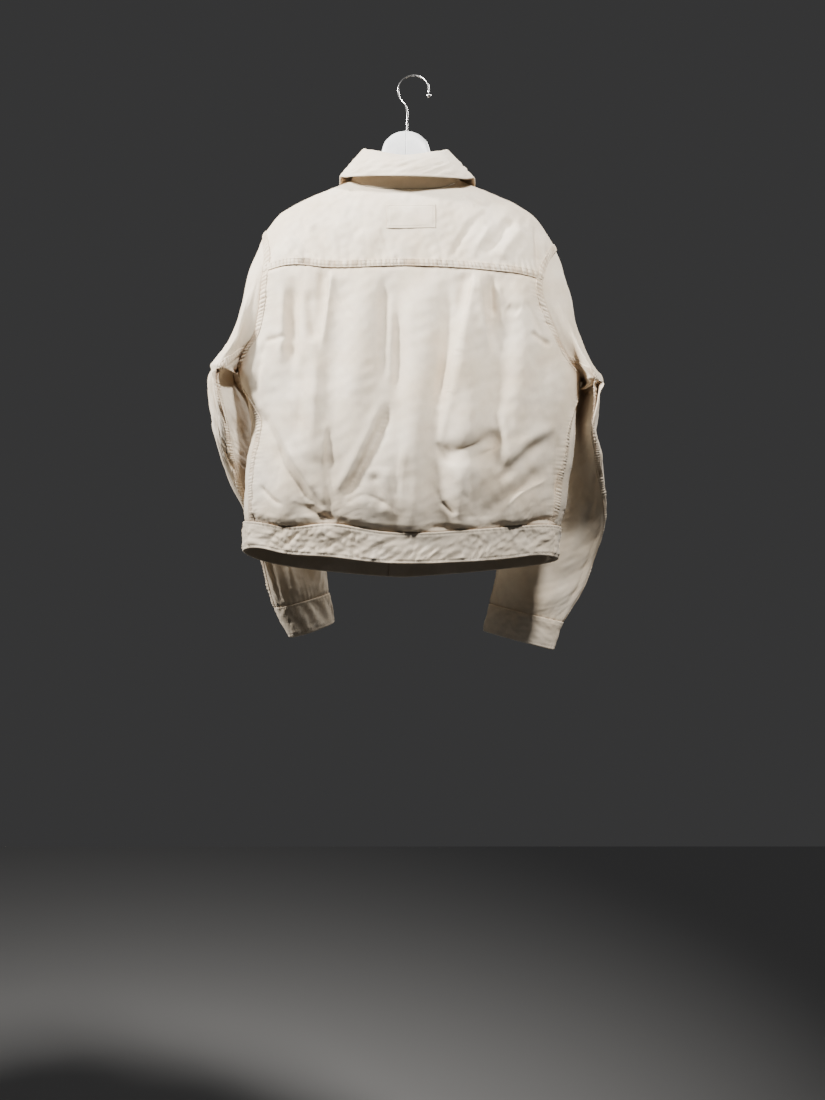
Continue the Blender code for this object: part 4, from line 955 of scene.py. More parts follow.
class Stitching:
    """Rows of stitches and felled seams, gathered for one mesh of each."""

    def __init__(self):
        self.starts = []
        self.ends = []
        self.normals = []
        self.strips = []

    def sew(self, line, normals, first=0.0, last=0.0):
        """Even stitches along a line of points, from first to last metres off its ends."""
        run = run_along(line, 0)
        starts = np.arange(first + 0.0005, run[-1] - last - STITCH, STITCH_PITCH)
        if len(starts):
            self.starts.append(resampled(starts, run, line))
            self.ends.append(resampled(starts + STITCH, run, line))
            self.normals.append(resampled(starts + STITCH / 2, run, normals))

    def rows(self, points, outward, edge, insets, first=0.0, last=0.0):
        """A row of stitches at each inset from an edge of a grid."""
        for inset in insets:
            line, normals = seam_line(points, outward, edge, inset)
            self.sew(line, normals, first, last)

    def fell(self, points, outward, edge, seed, pitch=PUCKER_PITCH, pucker=PUCKER, rise=FELL_RISE):
        """A felled seam along an edge of a grid: a raised strip, puckered, with two rows.

        The strip's outer side turns under the cloth's edge and its inner side meets the cloth.
        """
        lines = [seam_line(points, outward, edge, inset) for inset in FELL_LINES]
        run = run_along(lines[0][0], 0)
        places = np.linspace(0, run[-1], max(int(run[-1] / STRIP_STEP), 2))
        strip, normals = (
            np.stack([resampled(places, run, line[part]) for line in lines]) for part in (0, 1)
        )
        normals = unit(normals)
        inset = np.array(FELL_LINES)[:, None]
        puckers = ripples(places + 0.2 * inset, pitch, seed)
        puffed = 0.45 + 0.55 * np.sin(math.pi * np.clip(inset / FELL, 0, 1)) ** 0.6
        height = rise + pucker * puffed * (puckers - 0.3)
        height -= ROW_SINK * sum(bell(inset - row, 0.001) for row in FELL_ROWS)
        height = np.maximum(height, 0.0003)
        height[-1] = -0.0004
        away = unit(strip[0] - strip[1])
        strip = strip + normals * height[..., None]
        turned = strip[0] + away * 0.0007 - normals[0] * (height[0] * 0.45)[:, None]
        under = strip[0] + away * 0.0004 - normals[0] * (height[0] + 0.0009)[:, None]
        grid = np.concatenate([under[None], turned[None], strip])
        # How deep each point lies in the puckers; the drill paints shade into their valleys from
        # this.
        valley = np.clip(1 - 1.7 * puckers, 0, 1) * ease((FELL + 0.0006 - inset) / 0.002)
        valley = np.concatenate([valley[:1], valley[:1], valley])
        self.strips.append((grid, np.concatenate([normals[:1], normals[:1], normals]), valley))
        for row in FELL_ROWS:
            number = FELL_LINES.index(row)
            self.sew(strip[number], normals[number])

    def strips_piece(self, name, material):
        """One mesh of all the felled seams."""
        vertices, faces, coordinates, valleys, count = [], [], [], [], 0
        for grid, normals, valley in self.strips:
            faces.append(grid_faces(grid, normals) + count)
            vertices.append(grid.reshape(-1, 3))
            coordinates.append(cloth_coordinates(grid))
            valleys.append(valley.ravel())
            count += len(vertices[-1])
        joined = [np.concatenate(part) for part in (vertices, faces, coordinates, valleys)]
        piece = build_mesh(name, joined[0], joined[1], material, joined[2], joined[3])
        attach(piece, "root")

    def piece(self, name, material):
        """One mesh of all the stitches.

        Each is a four-sided spindle that arches over the cloth and dips into it at its ends.
        """
        start = np.concatenate(self.starts)
        end = np.concatenate(self.ends)
        normal = unit(np.concatenate(self.normals))
        side = unit(np.cross(end - start, normal))
        rings = []
        for share, radius, height in ((0.14, 0.62, 0.1), (0.5, 1.0, 0.9), (0.86, 0.62, 0.1)):
            centre = blend(start, end, share) + normal * THREAD * height
            reach = THREAD * radius
            rings += [centre + side * reach, centre + normal * reach * 0.8]
            rings += [centre - side * reach, centre - normal * reach * 0.8]
        tips = [start - normal * THREAD, end - normal * THREAD]
        vertices = np.stack([tips[0], *rings, tips[1]], axis=1)
        faces = [(0, 2, 1), (0, 3, 2), (0, 4, 3), (0, 1, 4)]
        faces += [(13, 9, 10), (13, 10, 11), (13, 11, 12), (13, 12, 9)]
        quads = []
        for ring in (1, 5):
            for corner in range(4):
                following = ring + (corner + 1) % 4
                quads.append((ring + corner, following, following + 4, ring + corner + 4))
        shift = 14 * np.arange(len(start))[:, None, None]
        triangles = (np.array(faces)[None] + shift).reshape(-1, 3)
        squares = (np.array(quads)[None] + shift).reshape(-1, 4)
        both = triangles.tolist() + squares.tolist()
        piece = build_mesh(name, vertices.reshape(-1, 3), both, material)
        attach(piece, "root")
        return piece


# ---------------------------------------------------------------- edges of the body's panels


def fill(left, right, top, bottom, u, v, reach):
    """Grid of angles and heights between four edges, each a pair of arrays.

    v gives the rows' shares of the height in the middle; they turn to follow the side edges
    within the share of the width that reach gives.
    """
    u = u[:, None]
    height = bottom[1] - top[1]
    left_share = (left[1] - top[1][0]) / height[0]
    right_share = (right[1] - top[1][-1]) / height[-1]
    at_left = ease(1 - u / reach)
    at_right = ease(1 - (1 - u) / reach)
    share = v + (left_share - v) * at_left + (right_share - v) * at_right
    z = top[1][:, None] + height[:, None] * share
    top_u = (top[0] - top[0][0]) / (top[0][-1] - top[0][0])
    angle = left[0] + (right[0] - left[0]) * blend(top_u[:, None], u, ease(v))
    return angle, z


def side_seam(side, share):
    """Ring angle and height down a side seam, from under the arm to the waistband seam."""
    foot = SIDE_SEAM_ANGLE if side == "left" else math.pi - SIDE_SEAM_ANGLE
    z = blend(UNDERARM_Z[side], waist("seam", foot), share)
    angle = SIDE_SEAM_ANGLE * ease((UNDERARM_Z[side] - z) / SIDE_SEAM_RUN)
    return (angle if side == "left" else math.pi - angle), z


def arm_and_side(side, loop, steps):
    """Ring angles and heights down an armhole, then down the side seam."""
    points, ring = armhole(side, loop)
    angle, z = side_seam(side, shares(steps + 1)[1:])
    return np.append(ring, angle), np.append(points[:, 2], z)


def yoke_edge(share):
    """Ring angle and height along the yoke seam, from the left armhole to the right one."""
    ends = [armhole(side, np.array([loop_angle(YOKE_DROP[side])])) for side in SIDES]
    levels = [end[0][0, 2] for end in ends]
    angle = blend(ends[0][1][0], ends[1][1][0], share)
    z = along(YOKE_SEAM, "z", body_x(angle, blend(*levels, share)), "x")
    shift = blend(levels[0] - z[0], levels[1] - z[-1], share)
    return angle, z + shift * np.abs(2 * share - 1) ** 6


def neck_z(x, behind):
    """Height of the neckline at x from the centre."""
    share = np.clip(np.abs(x) / NECK_HALF, 0, 1)
    side_z = shoulder_z(NECK_HALF)
    if behind:
        return blend(NECK_BACK_Z, side_z, share ** 4)
    return blend(side_z, NECK_FRONT_Z, (1 - share ** 2) ** 0.62)


def top_columns(side, panel_name):
    """Places of a panel's columns along the shoulder line and the neckline, from one armhole."""
    steps = close_at_ends(RIDGE_STEPS[panel_name] + 1, 0.06, 1.8)
    ridge = blend(ARMHOLE[side]["back"][0], NECK_HALF, steps)
    last = math.pi / 2
    if panel_name == "front":
        last = math.acos(SIDES[side] * OVERLAP / NECK_HALF)
    turns = last * shares(NECK_STEPS[panel_name] + 1)[1:]
    return np.concatenate([ridge, NECK_HALF * np.cos(turns)])


def top_edge(x, behind):
    """Ring angle and height along the shoulder line and the neckline at places x."""
    z = np.where(np.abs(x) >= NECK_HALF, shoulder_z(x), neck_z(x, behind))
    angle = np.where(x >= 0, body_angle(x, z), math.pi - body_angle(x, z))
    return (angle if behind else -angle), z


def front_foot(side, count):
    """Angles of a front's columns along the waistband seam."""
    half = float(along(BODY, "half", -0.77))
    lean = math.asin((OVERLAP / half) ** (ROUNDNESS / 2))
    if side == "left":
        return blend(SIDE_SEAM_ANGLE, lean - math.pi / 2, shares(count))
    return blend(math.pi - SIDE_SEAM_ANGLE, 1.5 * math.pi + lean, shares(count))


def raised(points, normals, height):
    """Points moved out along their normals, and the new surface's own normals."""
    moved = points + normals * height[..., None]
    return moved, grid_normals(moved, normals)


# ---------------------------------------------------------------- back, yoke and fronts


def make_back(material, stitches):
    """Back panel, with its pleats, the pull lines from the shoulders and the waist's folds."""
    u = close_at_ends(BACK_COLUMNS, 0.035, 2.2)
    rows = shares(BACK_ARM_ROWS)
    edges = []
    for side in SIDES:
        loop = blend(loop_angle(YOKE_DROP[side]), math.pi, rows)
        edges.append(arm_and_side(side, loop, SIDE_STEPS))
    left, right = edges
    foot = blend(left[0][-1], right[0][-1], u)
    v = ARM_SHARE["back"] * rows ** 0.9
    v = np.append(v, blend(ARM_SHARE["back"], 1.0, shares(SIDE_STEPS + 1)[1:]))
    grid = fill(left, right, yoke_edge(u), (foot, waist("seam", foot)), u, v, ARM_REACH["back"])
    base = softened(body_points(*grid))
    out = softened(body_normals(*grid))
    across, other, down, low = margins(base)
    x, z = base[..., 0], base[..., 2]
    height = creases(x, z, BACK_CREASES, BACK_DEPTH) + pleat_relief(x, z)
    height += 0.0048 * soft_waves(x, 0.18 * z, 0.07, 17) * ease(down / 0.06)
    height += 0.0012 * soft_waves(x, 0.6 * z, 0.06, 11) + 0.0003 * soft_waves(x, z, 0.018, 12)
    corner = np.abs(2 * u - 1)[:, None]
    height += (0.0052 + 0.003 * corner ** 2) * ease(low / 0.018) * fading(low, 0.06)
    height += fading(low, 0.035) * 0.001 * crumples(x, z, 0.03, 13)
    edge = ease(across / 0.012) * ease(other / 0.012)
    height *= blend(0.35, 1.0, edge) * ease(down / 0.01 + 0.3)
    height *= blend(0.2, 1.0, ease(low / 0.008))
    height += runs_out(across, down, 21) + runs_out(other, down, 22)
    height += 0.0009 * fading(down, 0.01) * ripples(across, 0.013, 23)
    height += over_band(across, low) - 0.0012 * bell(down, 0.005)
    points, outward = raised(base, out, height)
    for end in ("c0", "c1"):
        on_arm = slice(0, BACK_ARM_ROWS + 1)
        stitches.fell(points[:, on_arm], outward[:, on_arm], end, 21)
        on_side = slice(BACK_ARM_ROWS, None)
        stitches.fell(points[:, on_side], outward[:, on_side], end, 22, LADDER_PITCH)
    points, outward = edged(points, outward, ("c0", "c1"), ("r0",), ("r1",))
    piece = sheet_piece("cloth_back", "back", points, outward, material)


def over_band(across, low):
    """The groove where a panel goes into the waistband, and the puckers that rise from it."""
    puckers = ease(low / 0.004) * fading(low, 0.01) * ripples(across, 0.009, 24)
    return 0.0014 * puckers - 0.0016 * bell(low, 0.004)


def make_yoke(material, stitches):
    """Back yoke from the shoulder lines to its felled seam, pulled in soft folds by the hanger."""
    left = top_columns("left", "back")
    right = top_columns("right", "back")
    x = np.concatenate([left, -right[-2::-1]])
    share = shares(len(x))
    v = slow_start(YOKE_ROWS)
    top = top_edge(x, True)
    bottom = yoke_edge(share)
    angle = blend(top[0][:, None], bottom[0][:, None], v)
    z = blend(top[1][:, None], bottom[1][:, None], v)
    for side, column in (("left", 0), ("right", -1)):
        loop = np.arccos(1 - 2 * v * YOKE_DROP[side])
        points, ring = armhole(side, loop)
        fade = (share if column else 1 - share)[:, None] ** 6
        angle = angle + (ring - angle[column]) * fade
        z = z + (points[:, 2] - z[column]) * fade
    base = body_points(angle, z)
    out = body_normals(angle, z)
    out[:, 0] = out[:, 1]
    across, other, down, low = margins(base)
    x_here, z_here = base[..., 0], base[..., 2]
    height = creases(x_here, z_here, YOKE_CREASES, YOKE_DEPTH)
    height += layered(x_here, z_here, (0.001, 0.05, 31), (0.0004, 0.016, 32))
    edge = ease(across / 0.012) * ease(other / 0.012)
    height *= blend(0.3, 1.0, edge) * ease(low / 0.012) * ease(down / 0.02)
    height += runs_out(across, down, 33) + runs_out(other, down, 34)
    height += runs_out(low, across, 36, 0.0016, 0.0135, 0.011)
    points, outward = raised(base, out, height)
    stitches.fell(points, outward, "r1", 35, PUCKER_PITCH, 0.0008, 0.0014)
    for end in ("c0", "c1"):
        stitches.fell(points, outward, end, 33)
    on_ridge = int(np.sum(x >= NECK_HALF))
    for part in (slice(0, on_ridge), slice(len(x) - on_ridge, len(x))):
        stitches.rows(points[part], outward[part], "r0", (0.0025, 0.0085))
    points, outward = edged(points, outward, ("c0", "c1", "r1", "r0"))
    piece = sheet_piece("cloth_yoke", "back_yoke", points, outward, material)


def make_fronts(material, stitches):
    """Left and right front panels; the button band covers their inner edges."""
    for side, sign in SIDES.items():
        columns = top_columns(side, "front")
        top = top_edge(columns, False)
        top = (top[0] if sign > 0 else math.pi - top[0], top[1])
        rows = shares(FRONT_ARM_ROWS)
        loop = blend(2 * math.pi, math.pi, rows)
        edge = arm_and_side(side, loop, FRONT_SIDE_STEPS)
        v = ARM_SHARE["front"] * slow_start(FRONT_ARM_ROWS)
        below = shares(FRONT_SIDE_STEPS + 1)[1:]
        v = np.append(v, blend(ARM_SHARE["front"], 1.0, below))
        foot = front_foot(side, len(columns))
        front = (blend(top[0][-1], foot[-1], v), blend(top[1][-1], waist("seam", foot[-1]), v))
        bottom = (foot, waist("seam", foot))
        u = shares(len(columns))
        grid = fill(edge, front, top, bottom, u, v, ARM_REACH["front"])
        base = body_points(*grid)
        out = body_normals(*grid)
        out[:, 0] = out[:, 1]
        across, other, down, low = margins(base)
        x, z = base[..., 0], base[..., 2]
        centre = float(along(BODY, "centre", -0.5))
        number = 40 if sign > 0 else 50
        height = creases(sign * (x - centre) + 0.004, z, FRONT_CREASES, FRONT_DEPTH[side])
        height += 0.0028 * soft_waves(x, 0.2 * z, 0.055, number + 5) * ease(down / 0.06)
        height += layered(x, z, (0.0008, 0.055, number + 1), (0.00025, 0.017, number + 2))
        height += fading(low, 0.035) * 0.0016 * crumples(x, z, 0.03, number + 3)
        height *= ease(across / 0.014) * ease(down / 0.014) * blend(0.2, 1.0, ease(low / 0.008))
        armed = (np.arange(len(v)) < FRONT_ARM_ROWS)[None, :] * 1.0
        height += runs_out(across, down, number + 4) * armed
        height += over_band(across, low)
        height -= 0.0006 * bell(other, 0.006)
        points, outward = raised(base, out, height)
        part = slice(0, FRONT_ARM_ROWS)
        stitches.fell(points[:, part], outward[:, part], "c0", number + 4)
        hidden = armed[0] < 0.5
        reach = np.where(hidden, TUCK, 0.0003)
        depth = np.where(hidden, TUCK_DEPTH, 0.0012)
        points, outward = beyond(points, outward, "c0", reach, depth)
        ridge = np.append([1.0], np.abs(columns) >= NECK_HALF) > 0.5
        points, outward = beyond(points, outward, "r0", np.where(ridge, 0.004, 0.0), 0.0009)
        points, outward = edged(points, outward, lapped=("r1",))
        name = "cloth_front_" + side
        piece = sheet_piece(name, "front_" + side, points, outward, material)


def body_wall(name, node, angle, z, lift, height, thickness, material):
    """A closed wall over the body: its outer side carries the relief, its inner side is smooth."""
    out = body_normals(angle, z)
    form = body_points(angle, z) + out * np.asarray(lift)[..., None]
    outer, outward = raised(form, out, height)
    inner = form - out * thickness + out * (0.5 * np.minimum(height, 0.0)[..., None])
    piece = wall_piece(name, node, outer, inner, outward, material)
    return piece, outer, outward


def make_placket(material, stitches):
    """Button band: it covers the left front's edge and laps over the right front."""
    columns, rows = PLACKET_GRID
    v = shares(rows)
    x = blend(OVERLAP + PLACKET_SEAM, -OVERLAP, shares(columns))[:, None] + 0 * v
    z = blend(neck_z(x, False) - 0.006, waist("seam", -math.pi / 2) + 0.0016, v)
    angle = -ring_angle(x, z)
    base = body_points(angle, z)
    across, other, down, _ = margins(base)
    height = 0.0005 * soft_waves(base[..., 0], base[..., 2], 0.03, 61)
    for inset, seed in ((across, 62), (other, 63)):
        height -= 0.0003 * bell(inset - 0.006, 0.0011)
        height += 0.0005 * bell(inset - 0.003, 0.004) * ripples(down, 0.009, seed)
    parts = ("cloth_placket", "placket", angle, z, PLACKET_LIFT, height, PLACKET_CLOTH, material)
    piece, outer, outward = body_wall(*parts)
    for end in ("c0", "c1"):
        stitches.rows(outer, outward, end, (0.006,), 0.003, 0.002)
    stitches.rows(outer, outward, "c0", (0.0015,), 0.003, 0.002)


def make_patch(material, stitches):
    """Bare rectangular patch on the yoke, turned a little and stitched round."""
    u, v = (shares(count) for count in PATCH_GRID)
    wide, tall = PATCH["width"], PATCH["height"]
    across = blend(-wide / 2, wide / 2, u)[:, None] + 0 * v
    down = blend(tall / 2, -tall / 2, v)[None] + 0 * across
    x = PATCH["x"] - HANGER_X + across
    z = PATCH["z"] + down + PATCH["tilt"] * across
    angle = ring_angle(x, z)
    base = body_points(angle, z)
    edge = np.minimum(np.minimum(u, 1 - u)[:, None] * wide, np.minimum(v, 1 - v)[None] * tall)
    height = layered(base[..., 0], base[..., 2], (0.0004, 0.022, 71), (0.0008, 0.05, 31))
    height -= 0.0007 * bell(edge - 0.0026, 0.001) + 0.0004 * ease((0.002 - edge) / 0.002)
    parts = ("cloth_patch", "yoke_patch", angle, z, PATCH_LIFT, height, PATCH_CLOTH, material)
    piece, outer, outward = body_wall(*parts)
    for end in ("c0", "c1", "r0", "r1"):
        stitches.rows(outer, outward, end, (0.0022,), 0.0022, 0.0022)


def band_seams(across, insets, seed, rows, groove, spread, pitch):
    """Relief along a band's rows of stitches: a groove at each, with puckers round it."""
    height = 0.0
    for inset, (place, rise) in zip(insets, rows):
        puckers = ripples(across, pitch, seed + 4 + int(1e4 * place))
        height = height - groove[0] * bell(inset - place, groove[1])
        height = height + rise * bell(inset - place, spread) * puckers
    return height


def make_waistband(material, stitches):
    """Waistband in three bands, crumpled between its rows of stitches."""
    v = close_at_ends(BAND_ROWS, 0.1, 1.6)
    back = blend(SIDE_SEAM_ANGLE, math.pi - SIDE_SEAM_ANGLE, shares(WAISTBAND_COLUMNS["back"]))
    left = front_foot("left", WAISTBAND_COLUMNS["front"])
    lap = blend(left[-1], -math.pi - left[-1], shares(WAISTBAND_COLUMNS["lap"])[1:])
    bands = {
        "back": back,
        "front_left": np.concatenate([left, lap]),
        "front_right": front_foot("right", WAISTBAND_COLUMNS["front"]),
    }
    for number, (name, columns) in enumerate(bands.items()):
        seed = 80 + 10 * number
        angle = columns[:, None] + 0 * v
        z = blend(waist("seam", angle), waist("hem", angle), v)
        base = body_points(angle, z)
        across, _, down, low = margins(base)
        height = 0.0021 * crumples(across, down, 0.036, seed) + 0.0006
        height += 0.001 * soft_waves(across, down, 0.05, seed + 2)
        height *= ease(down / 0.016) * ease(low / 0.008)
        height += band_seams(across, (down, low), seed, **WAISTBAND_SEAMS)
        height = np.clip(height, -0.0012, 0.0038)
        lift = BAND_PROUD + 0.0006 + 0 * angle
        if name == "front_left":
            lift[len(left) - 1:] += BAND_CLOTH + 1.5 * GAP
        node = "waistband_" + name
        parts = ("cloth_" + node, node, angle, z, lift, height, BAND_CLOTH, material)
        piece, outer, outward = body_wall(*parts)
        stitches.rows(outer, outward, "r0", (0.0026,))
        stitches.rows(outer, outward, "r1", (0.0034,))
        if name != "back":
            stitches.rows(outer, outward, "c1", (0.004,), 0.003, 0.003)


# ---------------------------------------------------------------- sleeves and cuffs


# The lip of cloth where each armhole ends: places of its two ends, and how far it overhangs.
LIP_COLUMNS = "x z depth"
LIPS = {
    "left": table(LIP_COLUMNS, [
        (256, -489, 16), (281, -487, 18), (326, -474.5, 8),
    ]),
    "right": table(LIP_COLUMNS, [
        (-306, -505, 8), (-272, -496, 16), (-250, -496, 14),
    ]),
}


# How far the sleeve's back seam turns towards the body, in degrees, by its height.
SEAM_TURN = {
    "left": table("z turn", [
        (-490, 0), (-520, 8), (-550, 20), (-585, 31), (-620, 36), (-650, 36), (-700, 24),
        (-760, 10), (-820, 0),
    ]),
    "right": table("z turn", [
        (-500, 0), (-540, 3), (-570, 11), (-605, 17), (-640, 22), (-665, 17), (-700, 6),
        (-760, 0), (-820, 0),
    ]),
}

# The line down the under sleeve, in degrees round it, to which its back half is drawn flat.
FAR_LINE = 205


def sleeve_half(side, half, columns):
    """Half of a sleeve between its seams: its grid, the angles, the middles and the far line."""
    fine = np.linspace(-90, 270, 481)
    whole, middle = sleeve_points(side, np.radians(fine), 0, SLEEVE_ENDS[side], SLEEVE_ROWS)
    turn = along(SEAM_TURN[side], "turn", whole[len(fine) // 2, :, 2])
    ends = (-90 + 0 * turn, 90 + turn) if half == "upper" else (90 + turn, 270 + 0 * turn)
    degrees = blend(ends[0][None], ends[1][None], shares(columns)[:, None])
    place = (degrees + 90) / (fine[1] - fine[0])
    first = np.clip(place.astype(int), 0, len(fine) - 2)
    part = (place - first)[..., None]
    row = np.arange(SLEEVE_ROWS)[None]
    grid = blend(whole[first, row], whole[first + 1, row], part)
    return grid, degrees, middle, whole[int(np.argmin(np.abs(fine - FAR_LINE)))]


def lip_depth(side, points, outward):
    """How far the sleeve draws back under the lip where the armhole ends, on its rear side."""
    x, z = points[..., 0], points[..., 2]
    below = along(LIPS[side], "z", x, "x") - z
    rear = ease((outward[..., 1] + 0.25) / 0.5)
    depth = along(LIPS[side], "depth", x, "x") * rear * ease(below / 0.005)
    return depth * fading(np.maximum(below, 0), 0.045)


def folded_under(side, degrees, base, far):
    """The under sleeve drawn flat from its back seam to the body, and closed against its side."""
    start = degrees[:1]
    share = np.clip((degrees - start) / (FAR_LINE - start), 0, 1)[..., None]
    flat = blend(base[:1], far[None], share)
    z = base[..., 2]
    top = UNDERARM_Z[side] - 0.004
    zone = (ease((top - z) / 0.025) * ease((z + 0.7) / 0.06))[..., None]
    base = blend(base, flat, 1.3 * zone * (share < 1))
    sign = SIDES[side]
    levels = z[len(degrees) // 2]
    turns = np.linspace(-1.0, 1.0, 61)
    turns = turns if sign > 0 else math.pi - turns
    body = body_points(turns[:, None] + 0 * levels[None], levels[None] + 0 * turns[:, None])
    half = (sign * body[..., 0]).max(axis=0)
    inner = (sign * base[..., 0]).min(axis=0)
    shift = np.clip(inner - half + 0.0015, 0, 0.04) * ease((top - levels) / 0.015)
    weight = ease((degrees - start - 5) / 70) * ease((268 - degrees) / 60)
    base[..., 0] -= sign * weight * shift[None, :]
    return base


def make_sleeves(material, stitches):
    """Upper and under piece of each sleeve, felled together and gathered into the cuff."""
    for number, side in enumerate(SIDES):
        for half in ("upper", "under"):
            seed = 110 + 20 * number + (10 if half == "under" else 0)
            base, degrees, middle, far = sleeve_half(side, half, SLEEVE_COLUMNS[half])
            if half == "under":
                base = folded_under(side, degrees, base, far)
            out = grid_normals(base, base - middle)
            across, other, down, low = margins(base)
            round_it = np.radians(degrees) * SLEEVE_RADIUS
            height = creases(round_it, -down, SLEEVE_CREASES, SLEEVE_DEPTH[side])
            height += layered(round_it, down, (0.0018, 0.06, seed), (0.0003, 0.018, seed + 1))
            crushed = bell(down - 0.21, 0.07) + fading(low, 0.03)
            height += crushed * 0.0015 * crumples(round_it, down, 0.04, seed + 2)
            height *= ease(down / 0.016) * blend(0.3, 1.0, ease(low / 0.01))
            height *= ease(across / 0.01) * ease(other / 0.01)
            if half == "upper":
                height += runs_out(across, down, seed + 3, 0.0008, 2 * LADDER_PITCH)
                height += runs_out(other, down, seed + 4, 0.0008, 2 * LADDER_PITCH)
            height += 0.0011 * fading(down, 0.008) * ripples(across, 0.0076, seed + 5)
            height += 0.0014 * fading(low, 0.02) * ripples(across, 0.01, seed + 6)
            height -= 0.001 * bell(down, 0.005) + 0.0016 * bell(low, 0.004)
            height -= lip_depth(side, base, out) * ease(down / 0.03)
            points, outward = raised(base, out, height)
            turned, tucked = (), ("c0", "c1", "r0")
            if half == "upper":
                turned, tucked = ("c0", "c1"), ("r0",)
                for end in turned:
                    stitches.fell(points, outward, end, seed + 3, LADDER_PITCH)
            points, outward = edged(points, outward, turned, tucked, ("r1",))
            node = f"sleeve_{side}_{half}"
            piece = sheet_piece("cloth_" + node, node, points, outward, material)


def make_cuffs(material, stitches):
    """Cuffs: each a band round the sleeve's end whose ends lap on its outer face."""
    for number, side in enumerate(SIDES):
        seed = 150 + 10 * number
        angle = np.radians(blend(CUFF_UNDER_END, CUFF_OVER_END, shares(CUFF_COLUMNS)))
        first = SLEEVE_ENDS[side]
        base, middle = sleeve_points(side, angle, first, first + 1, BAND_ROWS)
        out = grid_normals(base, base - middle)
        under = ease((math.radians(CUFF_UNDER_END + 50) - angle) / math.radians(25))
        lift = CUFF_PROUD - (BAND_CLOTH + 2 * GAP) * under
        across, _, down, low = margins(base)
        height = 0.0009 * crumples(across, down, 0.036, seed) + 0.0005
        height += 0.0011 * soft_waves(across, down * 0.4, 0.028, seed + 2)
        height *= ease(down / 0.006) * ease(low / 0.006)
        height += band_seams(across, (down, low), seed, **CUFF_SEAMS)
        height = np.clip(height, -0.001, 0.0036) * (1 - 0.9 * under[:, None]) + 0.0006
        form = base + out * lift[:, None, None]
        outer, outward = raised(form, out, height)
        inner = form - out * BAND_CLOTH
        node = "cuff_" + side
        piece = wall_piece("cloth_" + node, node, outer, inner, outward, material)
        stitches.rows(outer, outward, "r0", (0.003,))
        stitches.rows(outer, outward, "r1", (0.004,))
        stitches.rows(outer, outward, "c1", (0.004,), 0.004, 0.004)


# ---------------------------------------------------------------- collar


def neck_points(angle):
    """Neckline: angle 0 at the left shoulder, 90 at the back."""
    x = NECK_HALF * np.cos(angle)
    behind = np.sin(angle) >= 0
    z = np.where(behind, neck_z(x, True), neck_z(x, False))
    ring = ring_angle(x, z)
    return body_points(np.where(behind, ring, -ring), z)


def collar_line(name, angle):
    """The collar's fold or its falling edge, by the angle round the neck."""
    degrees = np.degrees(angle)
    axes = [along(COLLAR, name + "_" + axis, degrees, "angle") for axis in "xyz"]
    return np.stack([axes[0] + HANGER_X, axes[1], axes[2]], axis=-1)


def collar_outward(angle):
    """Level direction out of the neck."""
    fold = collar_line("fold", angle)
    level = np.stack([fold[:, 0] - HANGER_X, fold[:, 1] * 1.3, 0 * angle], axis=-1)
    return unit(level)


def collar_foot():
    """Angles of the collar's columns round the neck, and the points of its seam."""
    first = COLLAR_GAP_ANGLE - math.pi / 2
    angle = np.linspace(first, math.pi - first, COLLAR_COLUMNS)
    return angle, neck_points(angle) + np.array([0, 0, STAND_GAP])


def make_stand(material, stitches):
    """Collar stand, rising from the neckline."""
    angle, neck = collar_foot()
    share = blend(0.0, STAND_SHARE, shares(COLLAR_ROWS["stand"]))[None, :, None]
    base = blend(neck[:, None], collar_line("fold", angle)[:, None], share)
    out = collar_outward(angle)[:, None] + 0 * base
    across, _, down, _ = margins(base)
    height = 0.0005 * soft_waves(across, down, 0.03, 171) * ease(down / 0.006)
    height -= 0.0003 * bell(down - 0.0025, 0.001)
    height += 0.0004 * fading(down, 0.005) * ripples(across, 0.009, 172)
    outer, outward = raised(base, out, height)
    inner = base - out * COLLAR_CLOTH
    piece = wall_piece("cloth_collar_stand", "collar_stand", outer, inner, outward, material)
    stitches.rows(outer, outward, "r0", (0.0025,))


